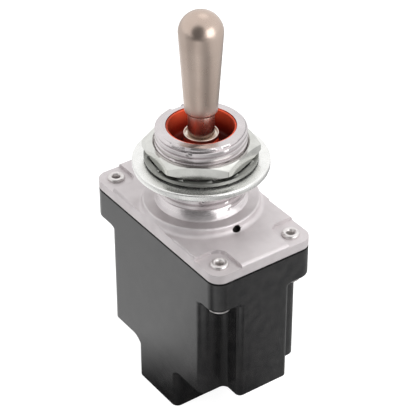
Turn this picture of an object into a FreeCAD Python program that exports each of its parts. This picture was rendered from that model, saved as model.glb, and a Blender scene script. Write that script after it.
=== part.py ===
"""Panel toggle switch: sealed, single pole, three positions, with a bat lever.

Frame: the origin is on the bushing's axis, in the face of the round boss that seats behind a panel.
+Z runs up the bushing to the lever's tip, X is the long side of the case and the way the lever swings.
The lever's lower arm carries a sprung plunger. Its tip lies in the cradle of a rocker that seesaws on
the middle terminal's yoke, and presses one of two contacts onto an end terminal.
"""

import FreeCAD, Part
import math
import os
import re
import Sketcher

V = FreeCAD.Vector
doc = FreeCAD.newDocument("ToggleSwitch")

# Driving dimensions in millimetres, and angles in degrees
SIZES = [
    # cover: plate, boss and bushing in one casting
    ("plate_length", 28.15, "cover and case flange, along X"),
    ("plate_width", 15.55, "cover and case, along Y"),
    ("plate_thickness", 1.75, "cover plate"),
    ("plate_corner", 1.8, "corner radius in plan"),
    ("plate_edge", 0.4, "rounding of the plate's top edge"),
    ("notch_long", 2.5, "sunk corner, from the rivet's axis inwards along X"),
    ("notch_wide", 1.9, "sunk corner, from the rivet's axis inwards along Y"),
    ("notch_corner", 1.6, "inner corner radius of a sunk corner"),
    ("notch_depth", 0.5, "depth of a sunk corner"),
    ("boss_ledge", 1.8, "round boss, the panel seat, beyond the bushing"),
    ("boss_height", 1.2, "boss above the plate"),
    ("boss_foot", 0.6, "hollow fillet from the boss to the plate"),
    ("boss_edge", 0.25, "rounding of the boss's edge"),
    ("bushing_radius", 5.95, "over the mounting thread, 15/32 in"),
    ("bushing_height", 10.86, "bushing above the seat"),
    ("bushing_chamfer", 0.35, "chamfer at the bushing's rim"),
    ("bushing_root", 0.2, "bevelled root where the bushing meets the boss"),
    ("keyway_width", 1.9, "slot down the bushing's -X side"),
    ("keyway_depth", 0.8, "depth of the slot"),
    ("keyway_end", 1.6, "height at which the slot ends"),
    ("index_radius", 0.65, "blind index hole beside the boss"),
    ("index_shift", 0.5, "index hole's axis outside the boss"),
    ("index_depth", 0.9, "depth of the index hole"),
    # bore of the bushing
    ("rim_wall", 1.37, "wall of the bushing around the boot"),
    ("boot_depth", 4.06, "depth of the boot's bore from the rim"),
    ("ball_room", 0.4, "bore around the lever's ball"),
    ("socket_step", 0.5, "step out to the bore of the pivot retainer"),
    ("flange_width", 0.8, "flange of the pivot retainer beyond its sleeve"),
    ("flange_thickness", 0.6, "flange of the pivot retainer"),
    ("sleeve_wall", 0.75, "sleeve of the pivot retainer"),
    # gasket and case
    ("gasket_thickness", 0.3, "gasket under the cover"),
    ("flange_depth", 4.45, "case flange, from the gasket down"),
    ("flange_edge", 0.5, "rounding under the flange's overhang"),
    ("flange_overhang", 3.425, "case flange beyond the body, at each end, before the shift"),
    ("body_shift", 0.35, "middle of body and foot beyond the axis, along X"),
    ("body_corner", 1.25, "upright corner radius of the body"),
    ("body_depth", 15.1, "case body below the flange"),
    ("pier_width", 8.0, "pier on each short side, along Y"),
    ("pier_corner", 0.75, "outer corner radius of a pier"),
    ("pier_root", 0.9, "hollow fillet beside a pier"),
    ("foot_length", 9.1, "foot, along X"),
    ("foot_depth", 6.55, "foot below the body"),
    ("foot_corner", 0.9, "corner radius of the foot"),
    ("foot_root", 1.2, "hollow fillet from the foot to the body"),
    ("end_wall", 1.65, "case wall at the ends of the hollow, before the shift"),
    ("side_wall", 2.175, "case wall along the hollow"),
    ("cavity_corner", 1.0, "corner radius of the hollow"),
    ("yoke_room", 0.4, "hollow around the yoke"),
    ("floor_thickness", 1.4, "case floor between hollow and terminal well"),
    ("well_lift", 2.2, "ceiling of the middle terminal well above the body's underside"),
    # rivets
    ("rivet_end", 2.225, "rivet's axis from the plate's end"),
    ("rivet_side", 2.175, "rivet's axis from the plate's long side"),
    ("rivet_radius", 0.85, "rivet shank"),
    ("rivet_wall", 0.35, "wall of the rivet's hollow end"),
    ("rivet_bore_depth", 2.4, "depth of the rivet's hollow end"),
    ("roll_width", 0.35, "rolled end beyond the shank"),
    ("roll_height", 0.45, "height of the rolled end"),
    ("rivet_head_width", 0.45, "rivet head under the flange, beyond the shank"),
    ("rivet_head_height", 0.9, "height of that head"),
    ("scallop_room", 0.2, "scallop in the body around that head"),
    ("scallop_depth", 4.0, "scallop below the flange"),
    ("rivet_bevel", 0.4, "bevel of that head"),
    # nut, lock washer and locking ring
    ("ring_height", 5.05, "underside of the locking ring above the seat"),
    ("ring_thickness", 0.95, "locking ring"),
    ("ring_width", 2.99, "locking ring beyond the thread"),
    ("ring_edge", 0.2, "bevel of the ring's outer edges"),
    ("hardware_gap", 0.1, "ring and washer teeth to the thread"),
    ("key_gap", 0.06, "key to the sides and floor of the keyway"),
    ("washer_width", 1.46, "lock washer beyond the thread"),
    ("washer_thickness", 0.46, "lock washer"),
    ("washer_rim", 0.7, "width of the lock washer's rim"),
    ("tooth_width", 1.6, "lock washer tooth"),
    ("tooth_twist", 19.0, "twist of a tooth, degrees"),
    ("tooth_count", 12, "teeth of the lock washer"),
    ("nut_wall", 0.7, "hex nut from the thread to a flat"),
    ("nut_thickness", 1.65, "hex nut"),
    ("nut_chamfer", 0.45, "how far the nut's chamfer falls at its corners"),
    ("nut_bore_chamfer", 0.3, "chamfer of the nut's thread"),
    ("nut_turn", -8.6, "how the nut stands about Z, degrees"),
    # lever and its pivot
    ("pivot_height", 1.8, "pivot above the seat"),
    ("pin_radius", 0.9, "cross pin"),
    ("pin_end_gap", 0.15, "ends of the cross pin to the socket's wall"),
    ("running_gap", 0.04, "radial clearance of what turns or slides"),
    ("ball_radius", 3.6, "ball of the lever"),
    ("stem_radius", 1.75, "lever in the seal"),
    ("shoulder_height", 12.9, "underside of the bat above the seat"),
    ("bat_low_radius", 2.15, "bat at its foot"),
    ("bat_top_radius", 2.75, "bat at its widest"),
    ("bat_centre", 24.55, "widest place above the seat"),
    ("bat_edge", 0.25, "bevel of the bat's foot"),
    ("arm_wall", 0.96, "lower arm around the plunger"),
    ("arm_reach", 7.2, "lower arm below the pivot"),
    ("arm_roof", 0.6, "metal between the cross pin and the arm's bore"),
    ("collar_width", 0.55, "collar beyond the stem"),
    ("collar_height", 0.55, "collar"),
    ("collar_bevel", 0.12, "bevel of the collar's top"),
    # boot
    ("boot_wall", 0.32, "sleeve of the boot"),
    ("boot_web", 0.75, "floor of the boot"),
    ("boot_fold", 0.4, "bevel at both sides of the boot's floor"),
    ("lip_gap", 0.04, "boot's lip around the stem"),
    ("boot_rim_drop", 0.4, "boot's sleeve below the bushing's rim"),
    ("lip_height", 9.3, "top of the boot's lip above the seat"),
    ("lip_width", 0.5, "boot's lip beyond the stem"),
    # plunger and spring
    ("plunger_radius", 1.2, "plunger and its round tip"),
    ("tip_reach", 8.0, "centre of the tip below the pivot"),
    ("plunger_length", 3.3, "from the tip's centre to the spring's seat"),
    ("spigot_radius", 0.55, "spigot inside the spring"),
    ("spigot_length", 0.7, "spigot inside the spring"),
    ("wire_radius", 0.17, "spring wire"),
    ("spring_turns", 5, "turns of the spring"),
    # rocker
    ("rocker_drop", 4.6, "rocker's pivot below the tip's centre"),
    ("rocker_throw", 11.05, "rocker at the lever's limit, degrees"),
    ("cam_rise", 1.15, "centre of the cradle's arc above the tip's centre"),
    ("cam_gap", 0.07, "tip to the cradle at rest"),
    ("cradle_length", 5.2, "cradle along X"),
    ("cradle_top", 4.2, "cradle above the rocker's pivot"),
    ("cradle_edge", 0.2, "rounding of the cradle's ends"),
    ("rocker_width", 5.0, "hub and cradle along Y"),
    ("hub_radius", 1.7, "rocker's hub"),
    ("arm_width", 4.0, "rocker's arms along Y"),
    ("arm_low", 0.2, "underside of the arms above the rocker's pivot"),
    ("arm_thickness", 0.9, "rocker's arms"),
    ("arm_corner", 1.0, "corner radius of the arms' ends"),
    ("rocker_room", 0.8, "rocker's ends to the end walls"),
    ("rocker_pin_radius", 0.8, "rocker's pin"),
    ("pin_proud", 0.64, "rocker's pin beyond the yoke's ears"),
    # contacts
    ("contact_inset", 1.2, "moving contact's axis from the rocker's end"),
    ("contact_radius", 1.1, "moving contact's button"),
    ("contact_height", 0.7, "moving contact's button"),
    ("contact_edge", 0.3, "bevel of the buttons"),
    ("shank_radius", 0.6, "shank of a contact rivet"),
    ("tail_width", 0.35, "riveted tail of a moving contact, beyond the shank"),
    ("tail_height", 0.25, "riveted tail of a moving contact"),
    ("contact_gap", 0.04, "what is left at the lever's limit"),
    ("anvil_shift", 0.3, "fixed contact further out than the moving one"),
    ("anvil_radius", 1.4, "fixed contact's button"),
    ("anvil_height", 0.6, "fixed contact's button"),
    # terminals and their screws
    ("terminal_inset", 5.475, "end screw's axis from the case's end"),
    ("disc_room", 0.1, "round well around a terminal's disc"),
    ("disc_radius", 3.1, "terminal's outer disc"),
    ("disc_thickness", 1.0, "terminal's outer disc"),
    ("column_wall", 0.45, "terminal's column around its thread"),
    ("tab_thickness", 0.8, "terminal's inner tab"),
    ("tab_inset", 1.6, "end of an end terminal's tab inwards of its contact"),
    ("tab_width", 4.6, "end terminal's tab along Y"),
    ("yoke_length", 5.0, "yoke's foot along X"),
    ("ear_thickness", 0.8, "yoke's ears"),
    ("ear_gap", 0.06, "ears to the rocker's hub"),
    ("ear_top", 1.6, "radius of an ear around the pin"),
    ("screw_radius", 1.75, "terminal screw's thread"),
    ("tap_depth", 2.2, "tapped hole in a terminal"),
    ("tap_spare", 0.1, "screw's end to the end of its hole"),
    ("head_inset", 0.25, "terminal screw's head inside the disc's edge"),
    ("head_height", 1.6, "terminal screw's head"),
    ("head_edge", 0.35, "bevel of the head"),
    ("slot_width", 0.9, "screwdriver slot"),
    ("slot_depth", 0.8, "screwdriver slot"),
    ("screw_washer_inset", 0.1, "washer inside the disc's edge"),
    ("screw_washer_gap", 0.1, "hole of that washer around the thread"),
    ("screw_washer_thickness", 0.5, "washer under the head"),
]

sheet = doc.addObject("Spreadsheet::Sheet", "Sizes")
for row, (alias, number, note) in enumerate(SIZES, start=1):
    sheet.set(f"A{row}", alias)
    sheet.set(f"B{row}", str(number))
    sheet.set(f"C{row}", note)
    sheet.setAlias(f"B{row}", alias)
doc.recompute()

ALIASES = {alias for alias, _, _ in SIZES}

# Sizes and places across the axis that follow from the ones above
BODY_LENGTH = "(plate_length - 2 * flange_overhang)"
CAVITY_LENGTH = f"({BODY_LENGTH} - 2 * end_wall)"
CAVITY_WIDTH = "(plate_width - 2 * side_wall)"
RIVET_X = "(plate_length / 2 - rivet_end)"
RIVET_Y = "(plate_width / 2 - rivet_side)"
RIVET_BORE = "(rivet_radius - rivet_wall)"
BOSS_RADIUS = "(bushing_radius + boss_ledge)"
BOOT_BORE = "(bushing_radius - rim_wall)"
CHAMBER_RADIUS = "(ball_radius + ball_room)"
SOCKET_RADIUS = f"({CHAMBER_RADIUS} + socket_step)"
FLANGE_RADIUS = f"({SOCKET_RADIUS} + flange_width)"
RING_RADIUS = "(bushing_radius + ring_width)"
WASHER_RADIUS = "(bushing_radius + washer_width)"
NUT_CORNER = "(2 * (bushing_radius + nut_wall) / sqrt(3))"
ARM_RADIUS = "(plunger_radius + running_gap + arm_wall)"
COLLAR_RADIUS = "(stem_radius + collar_width)"
LIP_RADIUS = "(stem_radius + lip_width)"
YOKE_INNER = "(rocker_width / 2 + ear_gap)"
YOKE_WIDTH = f"(2 * {YOKE_INNER} + 2 * ear_thickness)"
ROCKER_SPAN = f"({CAVITY_LENGTH} - 2 * rocker_room)"
CONTACT_X = f"({ROCKER_SPAN} / 2 - contact_inset)"
ANVIL_X = f"({CONTACT_X} + anvil_shift)"
TERMINAL_X = "(plate_length / 2 - terminal_inset)"
TERMINAL_BORE = "(disc_radius + disc_room)"
COLUMN_RADIUS = "(screw_radius + column_wall)"
HEAD_RADIUS = "(disc_radius - head_inset)"
SCALLOP_RADIUS = "(rivet_radius + rivet_head_width + scallop_room)"

# Levels that several pieces share
PLATE_TOP = "(-boss_height)"
PLATE_BOTTOM = f"({PLATE_TOP} - plate_thickness)"
NOTCH_FLOOR = f"({PLATE_TOP} - notch_depth)"
CASE_TOP = f"({PLATE_BOTTOM} - gasket_thickness)"
FLANGE_BOTTOM = f"({CASE_TOP} - flange_depth)"
BODY_BOTTOM = f"({FLANGE_BOTTOM} - body_depth)"
FOOT_BOTTOM = f"({BODY_BOTTOM} - foot_depth)"
BOOT_SEAT = "(bushing_height - boot_depth)"
PIN_TOP = "(pivot_height + pin_radius)"
RING_TOP = "(ring_height + ring_thickness)"
TOOTH_RISE = (
    "(tooth_width / 2 * sin(tooth_twist * 1 deg)"
    " - washer_thickness / 2 * (1 - cos(tooth_twist * 1 deg)))"
)
WASHER_BOTTOM = f"({RING_TOP} + {TOOTH_RISE})"
NUT_BOTTOM = f"({WASHER_BOTTOM} + washer_thickness + {TOOTH_RISE})"
ARM_BOTTOM = "(pivot_height - arm_reach)"
BORE_TOP = "(pivot_height - pin_radius - arm_roof)"
TIP_CENTRE = "(pivot_height - tip_reach)"
SPRING_SEAT = f"({TIP_CENTRE} + plunger_length)"
ROCKER_PIVOT = f"({TIP_CENTRE} - rocker_drop)"
CAM_RADIUS = "(plunger_radius + cam_rise + cam_gap)"
CONTACT_BOTTOM = "(contact_height - arm_low)"
CLOSING = (
    f"(({CONTACT_X} + contact_radius - contact_edge) * sin(rocker_throw * 1 deg)"
    f" + ({CONTACT_BOTTOM} - contact_edge) * cos(rocker_throw * 1 deg) + contact_edge + contact_gap)"
)
ANVIL_TOP = f"({ROCKER_PIVOT} - {CLOSING})"
TAB_TOP = f"({ANVIL_TOP} - anvil_height)"
END_FLOOR = f"({TAB_TOP} - tab_thickness)"
END_CEILING = f"({END_FLOOR} - floor_thickness)"
WELL_CEILING = f"({BODY_BOTTOM} + well_lift)"
WELL_FLOOR = f"({WELL_CEILING} + floor_thickness)"


def bound(text):
    """An expression in which each size's name is read from the sheet."""
    return re.sub(r"[a-z][a-z_]+", lambda word: f"Sizes.{word[0]}" if word[0] in ALIASES else word[0], text)


def number(text):
    """The present value of an expression."""
    found = sheet.evalExpression(bound(text))
    return float(getattr(found, "Value", found))


def bind(thing, **places):
    """Bind properties to expressions. A double underscore in a name stands for a dot."""
    for name, text in places.items():
        thing.setExpression(name.replace("__", "."), bound(text))


def new_body(label):
    body = doc.addObject("PartDesign::Body", label)
    body.Label = label
    return body


def new_sketch(body, plane, height="0"):
    """A sketch on one of the body's own planes, moved along the plane's normal by height."""
    sketch = body.newObject("Sketcher::SketchObject", f"{body.Label}_sketch")
    face = next(f for f in body.Origin.OriginFeatures if f.Role == plane)
    sketch.AttachmentSupport = [(face, "")]
    sketch.MapMode = "FlatFace"
    bind(sketch, AttachmentOffset__Base__z=height)
    return sketch


def outline(sketch, corners):
    """A closed outline. Each corner is (x, y) or (x, y, rounding), as expressions."""
    places = [(number(corner[0]), number(corner[1])) for corner in corners]
    first = sketch.GeometryCount
    count = len(corners)
    for i, place in enumerate(places):
        following = places[(i + 1) % count]
        sketch.addGeometry(Part.LineSegment(V(*place, 0), V(*following, 0)), False)
    for i in range(count):
        sketch.addConstraint(Sketcher.Constraint("Coincident", first + i, 2, first + (i + 1) % count, 1))
    for i, corner in enumerate(corners):
        for kind, text, place, axis in (
            ("DistanceX", corner[0], places[i][0], -2),
            ("DistanceY", corner[1], places[i][1], -1),
        ):
            if text == "0":
                sketch.addConstraint(Sketcher.Constraint("PointOnObject", first + i, 1, axis))
                continue
            index = sketch.addConstraint(Sketcher.Constraint(kind, -1, 1, first + i, 1, place))
            sketch.setExpression(f"Constraints[{index}]", bound(text))
    for i, corner in enumerate(corners):
        if len(corner) < 3:
            continue
        known = sketch.GeometryCount
        sketch.fillet(first + i, 1, number(corner[2]), True, True)
        arc = next(
            g for g in range(known, sketch.GeometryCount) if sketch.Geometry[g].TypeId == "Part::GeomArcOfCircle"
        )
        index = sketch.addConstraint(Sketcher.Constraint("Radius", arc, number(corner[2])))
        sketch.setExpression(f"Constraints[{index}]", bound(corner[2]))


def rectangle(sketch, length, width, rounding=None, x="0", y="0"):
    """A rectangle about (x, y), with rounded corners if asked."""
    corners = []
    for side_x, side_y in (("-", "-"), ("+", "-"), ("+", "+"), ("-", "+")):
        corner = (f"{x} {side_x} {length} / 2", f"{y} {side_y} {width} / 2")
        corners.append(corner + (rounding,) if rounding else corner)
    outline(sketch, corners)


def circle(sketch, radius, x="0", y="0"):
    geometry = sketch.addGeometry(Part.Circle(V(number(x), number(y), 0), V(0, 0, 1), number(radius)), False)
    for kind, text, axis in (("DistanceX", x, -2), ("DistanceY", y, -1)):
        if text == "0":
            sketch.addConstraint(Sketcher.Constraint("PointOnObject", geometry, 3, axis))
            continue
        index = sketch.addConstraint(Sketcher.Constraint(kind, -1, 1, geometry, 3, number(text)))
        sketch.setExpression(f"Constraints[{index}]", bound(text))
    index = sketch.addConstraint(Sketcher.Constraint("Radius", geometry, number(radius)))
    sketch.setExpression(f"Constraints[{index}]", bound(radius))


def extrude(body, kind, sketch, length, both_sides=False, reverse=False):
    """A pad or a pocket of the sketch."""
    feature = body.newObject(f"PartDesign::{kind}", f"{body.Label}_{kind.lower()}")
    feature.Profile = sketch
    feature.Reversed = reverse
    if both_sides:
        feature.SideType = "Symmetric"
    bind(feature, Length=length)
    doc.recompute()
    return feature


def pad(body, sketch, length, both_sides=False, reverse=False):
    return extrude(body, "Pad", sketch, length, both_sides, reverse)


def pocket(body, sketch, length, both_sides=False, reverse=False):
    """A pocket. It has to take something away."""
    before = body.Shape.Volume
    feature = extrude(body, "Pocket", sketch, length, both_sides, reverse)
    if not feature.Shape.Volume < before:
        raise ValueError(f"{body.Label}: a pocket cuts nothing")
    return feature


def turn(body, sketch, kind="Revolution"):
    """A full turn of the sketch about its upright axis."""
    feature = body.newObject(f"PartDesign::{kind}", f"{body.Label}_{kind.lower()}")
    feature.Profile = sketch
    feature.ReferenceAxis = (sketch, ["V_Axis"])
    feature.Angle = 360
    doc.recompute()
    return feature


def turned(label, corners):
    """A body turned about Z. The corners are (radius, height) or (radius, height, rounding)."""
    body = new_body(label)
    sketch = new_sketch(body, "XZ_Plane")
    outline(sketch, corners)
    turn(body, sketch)
    return body


def dress(body, kind, base, chosen, size):
    """A fillet or a chamfer on the base's edges that the test chooses."""
    names = [f"Edge{i}" for i, edge in enumerate(base.Shape.Edges, start=1) if chosen(edge)]
    if not names:
        raise ValueError(f"{body.Label}: no edge to dress")
    feature = body.newObject(f"PartDesign::{kind}", f"{body.Label}_{kind.lower()}")
    feature.Base = (base, names)
    bind(feature, **{"Size" if kind == "Chamfer" else "Radius": size})
    doc.recompute()
    return feature


def near(one, other):
    return abs(one - other) < 1e-4


def is_level(edge, height):
    """Whether the whole edge lies at this height."""
    return near(edge.BoundBox.ZMin, height) and near(edge.BoundBox.ZMax, height)


def is_upright(edge, x, y):
    """Whether the edge runs straight up at this place."""
    box = edge.BoundBox
    stands = box.ZLength > 0.1 and box.XLength < 1e-4 and box.YLength < 1e-4
    return stands and near(abs(box.XMin), x) and near(abs(box.YMin), y)


def is_round(edge, radius):
    """Whether the edge is an arc of this radius about Z's axis."""
    curve = edge.Curve
    return (
        curve.TypeId == "Part::GeomCircle"
        and near(curve.Radius, radius)
        and near(curve.Center.x, 0)
        and near(curve.Center.y, 0)
        and near(abs(curve.Axis.z), 1)
    )


def is_outer(edge, low, high):
    """Whether the whole edge lies on the flange's overhang, below x = low or above x = high."""
    box = edge.BoundBox
    beyond = box.XMin > high - 1e-4 or box.XMax < low + 1e-4
    on_rim = box.XMax > high + 1e-4 or box.XMin < low - 1e-4
    at_side = near(max(abs(box.YMin), abs(box.YMax)), number("plate_width / 2"))
    at_end = near(max(abs(box.XMin), abs(box.XMax)), number("plate_length / 2"))
    return beyond and on_rim and (at_side or at_end)


def crosswise_cylinder(label, radius, length, height):
    """A plain pin along Y at this height, centred on the axis."""
    pin = doc.addObject("Part::Cylinder", label)
    pin.Label = label
    pin.Placement = FreeCAD.Placement(V(0, 0, 0), FreeCAD.Rotation(V(1, 0, 0), 90))
    bind(pin, Radius=radius, Height=length, Placement__Base__y=f"{length} / 2", Placement__Base__z=height)
    return pin


def rivet_places():
    """The four rivets' (x, y), as expressions."""
    return [(f"{a}{RIVET_X}", f"{b}{RIVET_Y}") for a in ("", "-") for b in ("-", "")]


def cover_and_bushing():
    """Die-cast plate with sunk corners and a round boss, and the bushing that is bored from below."""
    body = new_body("cover_and_bushing")
    plan = new_sketch(body, "XY_Plane", PLATE_BOTTOM)
    rectangle(plan, "plate_length", "plate_width", "plate_corner")
    plate = pad(body, plan, "plate_thickness")
    top = number(PLATE_TOP)
    dress(body, "Fillet", plate, lambda edge: is_level(edge, top), "plate_edge")

    # boss and bushing, turned, with the hollow foot of the casting
    form = new_sketch(body, "XZ_Plane")
    outline(
        form,
        [
            ("0", PLATE_BOTTOM),
            (BOSS_RADIUS, PLATE_BOTTOM),
            (BOSS_RADIUS, f"{PLATE_TOP} - plate_edge"),
            (f"{BOSS_RADIUS} + 2 * boss_foot", f"{PLATE_TOP} - plate_edge"),
            (f"{BOSS_RADIUS} + 2 * boss_foot", PLATE_TOP),
            (BOSS_RADIUS, PLATE_TOP, "boss_foot"),
            (BOSS_RADIUS, "0", "boss_edge"),
            ("bushing_radius + bushing_root", "0"),
            ("bushing_radius", "bushing_root"),
            ("bushing_radius", "bushing_height - bushing_chamfer"),
            ("bushing_radius - bushing_chamfer", "bushing_height"),
            ("0", "bushing_height"),
        ],
    )
    turn(body, form)

    # the foot is trimmed flush with the plate's long sides, where a narrow plate leaves it over them
    around = new_sketch(body, "XY_Plane", PLATE_BOTTOM)
    rectangle(around, "(2 * plate_length)", "(2 * plate_length)")
    rectangle(around, "plate_length", "plate_width", "plate_corner")
    extrude(body, "Pocket", around, "plate_thickness + boss_height", reverse=True)

    # sunk corners around the rivets
    for side_x, side_y in (("", "-"), ("", ""), ("-", "-"), ("-", "")):
        corner = new_sketch(body, "XY_Plane", PLATE_TOP)
        inner_x = f"{side_x}({RIVET_X} - notch_long)"
        inner_y = f"{side_y}({RIVET_Y} - notch_wide)"
        outer_x = f"{side_x}plate_length"
        outer_y = f"{side_y}plate_width"
        outline(
            corner,
            [
                (inner_x, outer_y),
                (outer_x, outer_y),
                (outer_x, inner_y),
                (inner_x, inner_y, "notch_corner"),
            ],
        )
        pocket(body, corner, "notch_depth")

    holes = new_sketch(body, "XY_Plane", PLATE_TOP)
    for x, y in rivet_places():
        circle(holes, "rivet_radius", x, y)
    pocket(body, holes, "plate_thickness")
    index = new_sketch(body, "XY_Plane", PLATE_TOP)
    circle(index, "index_radius", f"{BOSS_RADIUS} + index_shift")
    pocket(body, index, "index_depth")

    # stepped bore: boot, ball chamber, socket of the pivot retainer and the recess of its flange
    for radius, low, high in (
        (BOOT_BORE, BOOT_SEAT, "bushing_height"),
        (CHAMBER_RADIUS, PIN_TOP, BOOT_SEAT),
        (SOCKET_RADIUS, PLATE_BOTTOM, PIN_TOP),
        (FLANGE_RADIUS, PLATE_BOTTOM, f"({PLATE_BOTTOM} + flange_thickness)"),
    ):
        step = new_sketch(body, "XY_Plane", high)
        circle(step, radius)
        pocket(body, step, f"{high} - {low}")

    # keyway, closed at its lower end by the cutter's round
    slot = new_sketch(body, "XZ_Plane")
    outline(
        slot,
        [
            ("-(bushing_radius - keyway_depth)", "bushing_height + keyway_depth"),
            ("-(bushing_radius - keyway_depth)", "keyway_end", "keyway_depth"),
            ("-(bushing_radius + 2 * keyway_depth)", "keyway_end"),
            ("-(bushing_radius + 2 * keyway_depth)", "bushing_height + keyway_depth"),
        ],
    )
    pocket(body, slot, "keyway_width", both_sides=True)
    return body


def case_gasket():
    """Flat gasket between the cover and the case."""
    body = new_body("case_gasket")
    plan = new_sketch(body, "XY_Plane", CASE_TOP)
    rectangle(plan, "plate_length", "plate_width", "plate_corner")
    rectangle(plan, CAVITY_LENGTH, CAVITY_WIDTH, "cavity_corner")
    for x, y in rivet_places():
        circle(plan, "rivet_radius", x, y)
    pad(body, plan, "gasket_thickness")
    return body


def foot_fillet(start, side=""):
    """Outline of the hollow fillet at the top of the foot, which begins at start on this side."""
    edge = f"({start} + foot_corner)"
    flare = f"({edge} + 2 * foot_root)"
    low = f"{BODY_BOTTOM} - 2 * foot_root"
    high = f"{BODY_BOTTOM} + foot_root"
    return [
        (f"{side}{start}", low),
        (f"{side}{edge}", low),
        (f"{side}{edge}", BODY_BOTTOM, "foot_root"),
        (f"{side}{flare}", BODY_BOTTOM),
        (f"{side}{flare}", high),
        (f"{side}{start}", high),
    ]


def switch_case():
    """Moulded case: flange, body, piers and foot, hollow for the contacts, with three terminal wells."""
    body = new_body("switch_case")
    block = new_sketch(body, "XY_Plane", BODY_BOTTOM)
    rectangle(block, BODY_LENGTH, "plate_width", "body_corner", x="body_shift")
    pad(body, block, "body_depth + flange_depth")
    piers = new_sketch(body, "XY_Plane", BODY_BOTTOM)
    rectangle(piers, "plate_length", "pier_width", "pier_corner")
    stem = pad(body, piers, "body_depth + flange_depth")
    side = number("pier_width / 2")
    ends = [number(f"{BODY_LENGTH} / 2 + body_shift"), number(f"{BODY_LENGTH} / 2 - body_shift")]
    dress(body, "Fillet", stem, lambda edge: any(is_upright(edge, end, side) for end in ends), "pier_root")
    flange = new_sketch(body, "XY_Plane", FLANGE_BOTTOM)
    rectangle(flange, "plate_length", "plate_width", "plate_corner")
    pad(body, flange, "flange_depth")
    foot = new_sketch(body, "XY_Plane", FOOT_BOTTOM)
    rectangle(foot, "foot_length", "plate_width", "foot_corner", x="body_shift")
    pad(body, foot, "foot_depth + foot_root")

    # hollow fillet between foot and body: straight along the foot's ends, turned at its corners
    straight = "(plate_width / 2 - foot_corner)"
    for side in ("body_shift + ", "body_shift - "):
        blend = new_sketch(body, "XZ_Plane")
        outline(blend, foot_fillet("(foot_length / 2 - foot_corner)", side))
        pad(body, blend, f"2 * {straight}", both_sides=True)
    for side_x in ("", "-"):
        for side_y in ("", "-"):
            corner = new_sketch(body, "XZ_Plane", f"{side_y}{straight}")
            bind(corner, AttachmentOffset__Base__x=f"body_shift + {side_x}(foot_length / 2 - foot_corner)")
            outline(corner, foot_fillet("0"))
            turn(body, corner)
    around = new_sketch(body, "XY_Plane", BODY_BOTTOM)
    rectangle(around, "(2 * plate_length)", "(2 * plate_length)")
    rectangle(around, "plate_length", "plate_width")
    pocket(body, around, "2 * foot_root", both_sides=True)

    # rounded underside of the flange where it overhangs the body
    overhang = body.Tip
    low = number(FLANGE_BOTTOM)
    dress(
        body,
        "Fillet",
        overhang,
        lambda edge: is_level(edge, low) and is_outer(edge, -ends[1], ends[0]),
        "flange_edge",
    )

    # scallops that let the rivets' heads sit flat under the flange
    scallops = new_sketch(body, "XY_Plane", FLANGE_BOTTOM)
    for x, y in rivet_places():
        circle(scallops, SCALLOP_RADIUS, x, y)
    pocket(body, scallops, "scallop_depth")

    # hollow for the contacts, the deeper one for the yoke, and the holes of the rivets
    hollow = new_sketch(body, "XY_Plane", CASE_TOP)
    rectangle(hollow, CAVITY_LENGTH, CAVITY_WIDTH, "cavity_corner")
    pocket(body, hollow, f"{CASE_TOP} - {END_FLOOR}")
    deep = new_sketch(body, "XY_Plane", END_FLOOR)
    rectangle(deep, "(yoke_length + 2 * yoke_room)", f"({YOKE_WIDTH} + 2 * yoke_room)", "cavity_corner")
    pocket(body, deep, f"{END_FLOOR} - {WELL_FLOOR}")
    holes = new_sketch(body, "XY_Plane", CASE_TOP)
    for x, y in rivet_places():
        circle(holes, "rivet_radius", x, y)
    pocket(body, holes, "flange_depth")

    # terminal wells from below, and the holes for the terminals' columns
    for places, floor, ceiling in (
        ((TERMINAL_X, f"-{TERMINAL_X}"), END_FLOOR, END_CEILING),
        (("0",), WELL_FLOOR, WELL_CEILING),
    ):
        wells = new_sketch(body, "XY_Plane", ceiling)
        columns = new_sketch(body, "XY_Plane", floor)
        for x in places:
            circle(wells, TERMINAL_BORE, x)
            circle(columns, COLUMN_RADIUS, x)
        pocket(body, wells, f"{ceiling} - {FOOT_BOTTOM}")
        pocket(body, columns, "floor_thickness")
    return body


def cover_rivets():
    """Tubular rivets: head under the case flange, end rolled over in the cover's sunk corner."""
    made = []
    head = "(rivet_radius + rivet_head_width)"
    roll = "(rivet_radius + roll_width)"
    for i, (x, y) in enumerate(rivet_places(), start=1):
        rivet = turned(
            f"cover_rivet_{i}",
            [
                ("0", f"{FLANGE_BOTTOM} - rivet_head_height"),
                (f"{head} - rivet_bevel", f"{FLANGE_BOTTOM} - rivet_head_height"),
                (head, f"{FLANGE_BOTTOM} - rivet_head_height + rivet_bevel"),
                (head, FLANGE_BOTTOM),
                ("rivet_radius", FLANGE_BOTTOM),
                ("rivet_radius", NOTCH_FLOOR),
                (roll, NOTCH_FLOOR),
                (roll, f"{NOTCH_FLOOR} + roll_height / 2"),
                (f"{roll} - roll_width / 2", f"{NOTCH_FLOOR} + roll_height"),
                (f"{RIVET_BORE} + roll_width / 2", f"{NOTCH_FLOOR} + roll_height"),
                (RIVET_BORE, f"{NOTCH_FLOOR} + roll_height / 2"),
                (RIVET_BORE, f"{NOTCH_FLOOR} - rivet_bore_depth"),
                ("0", f"{NOTCH_FLOOR} - rivet_bore_depth - {RIVET_BORE} / 2"),
            ],
        )
        bind(rivet, Placement__Base__x=x, Placement__Base__y=y)
        made.append(rivet)
    return made


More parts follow.
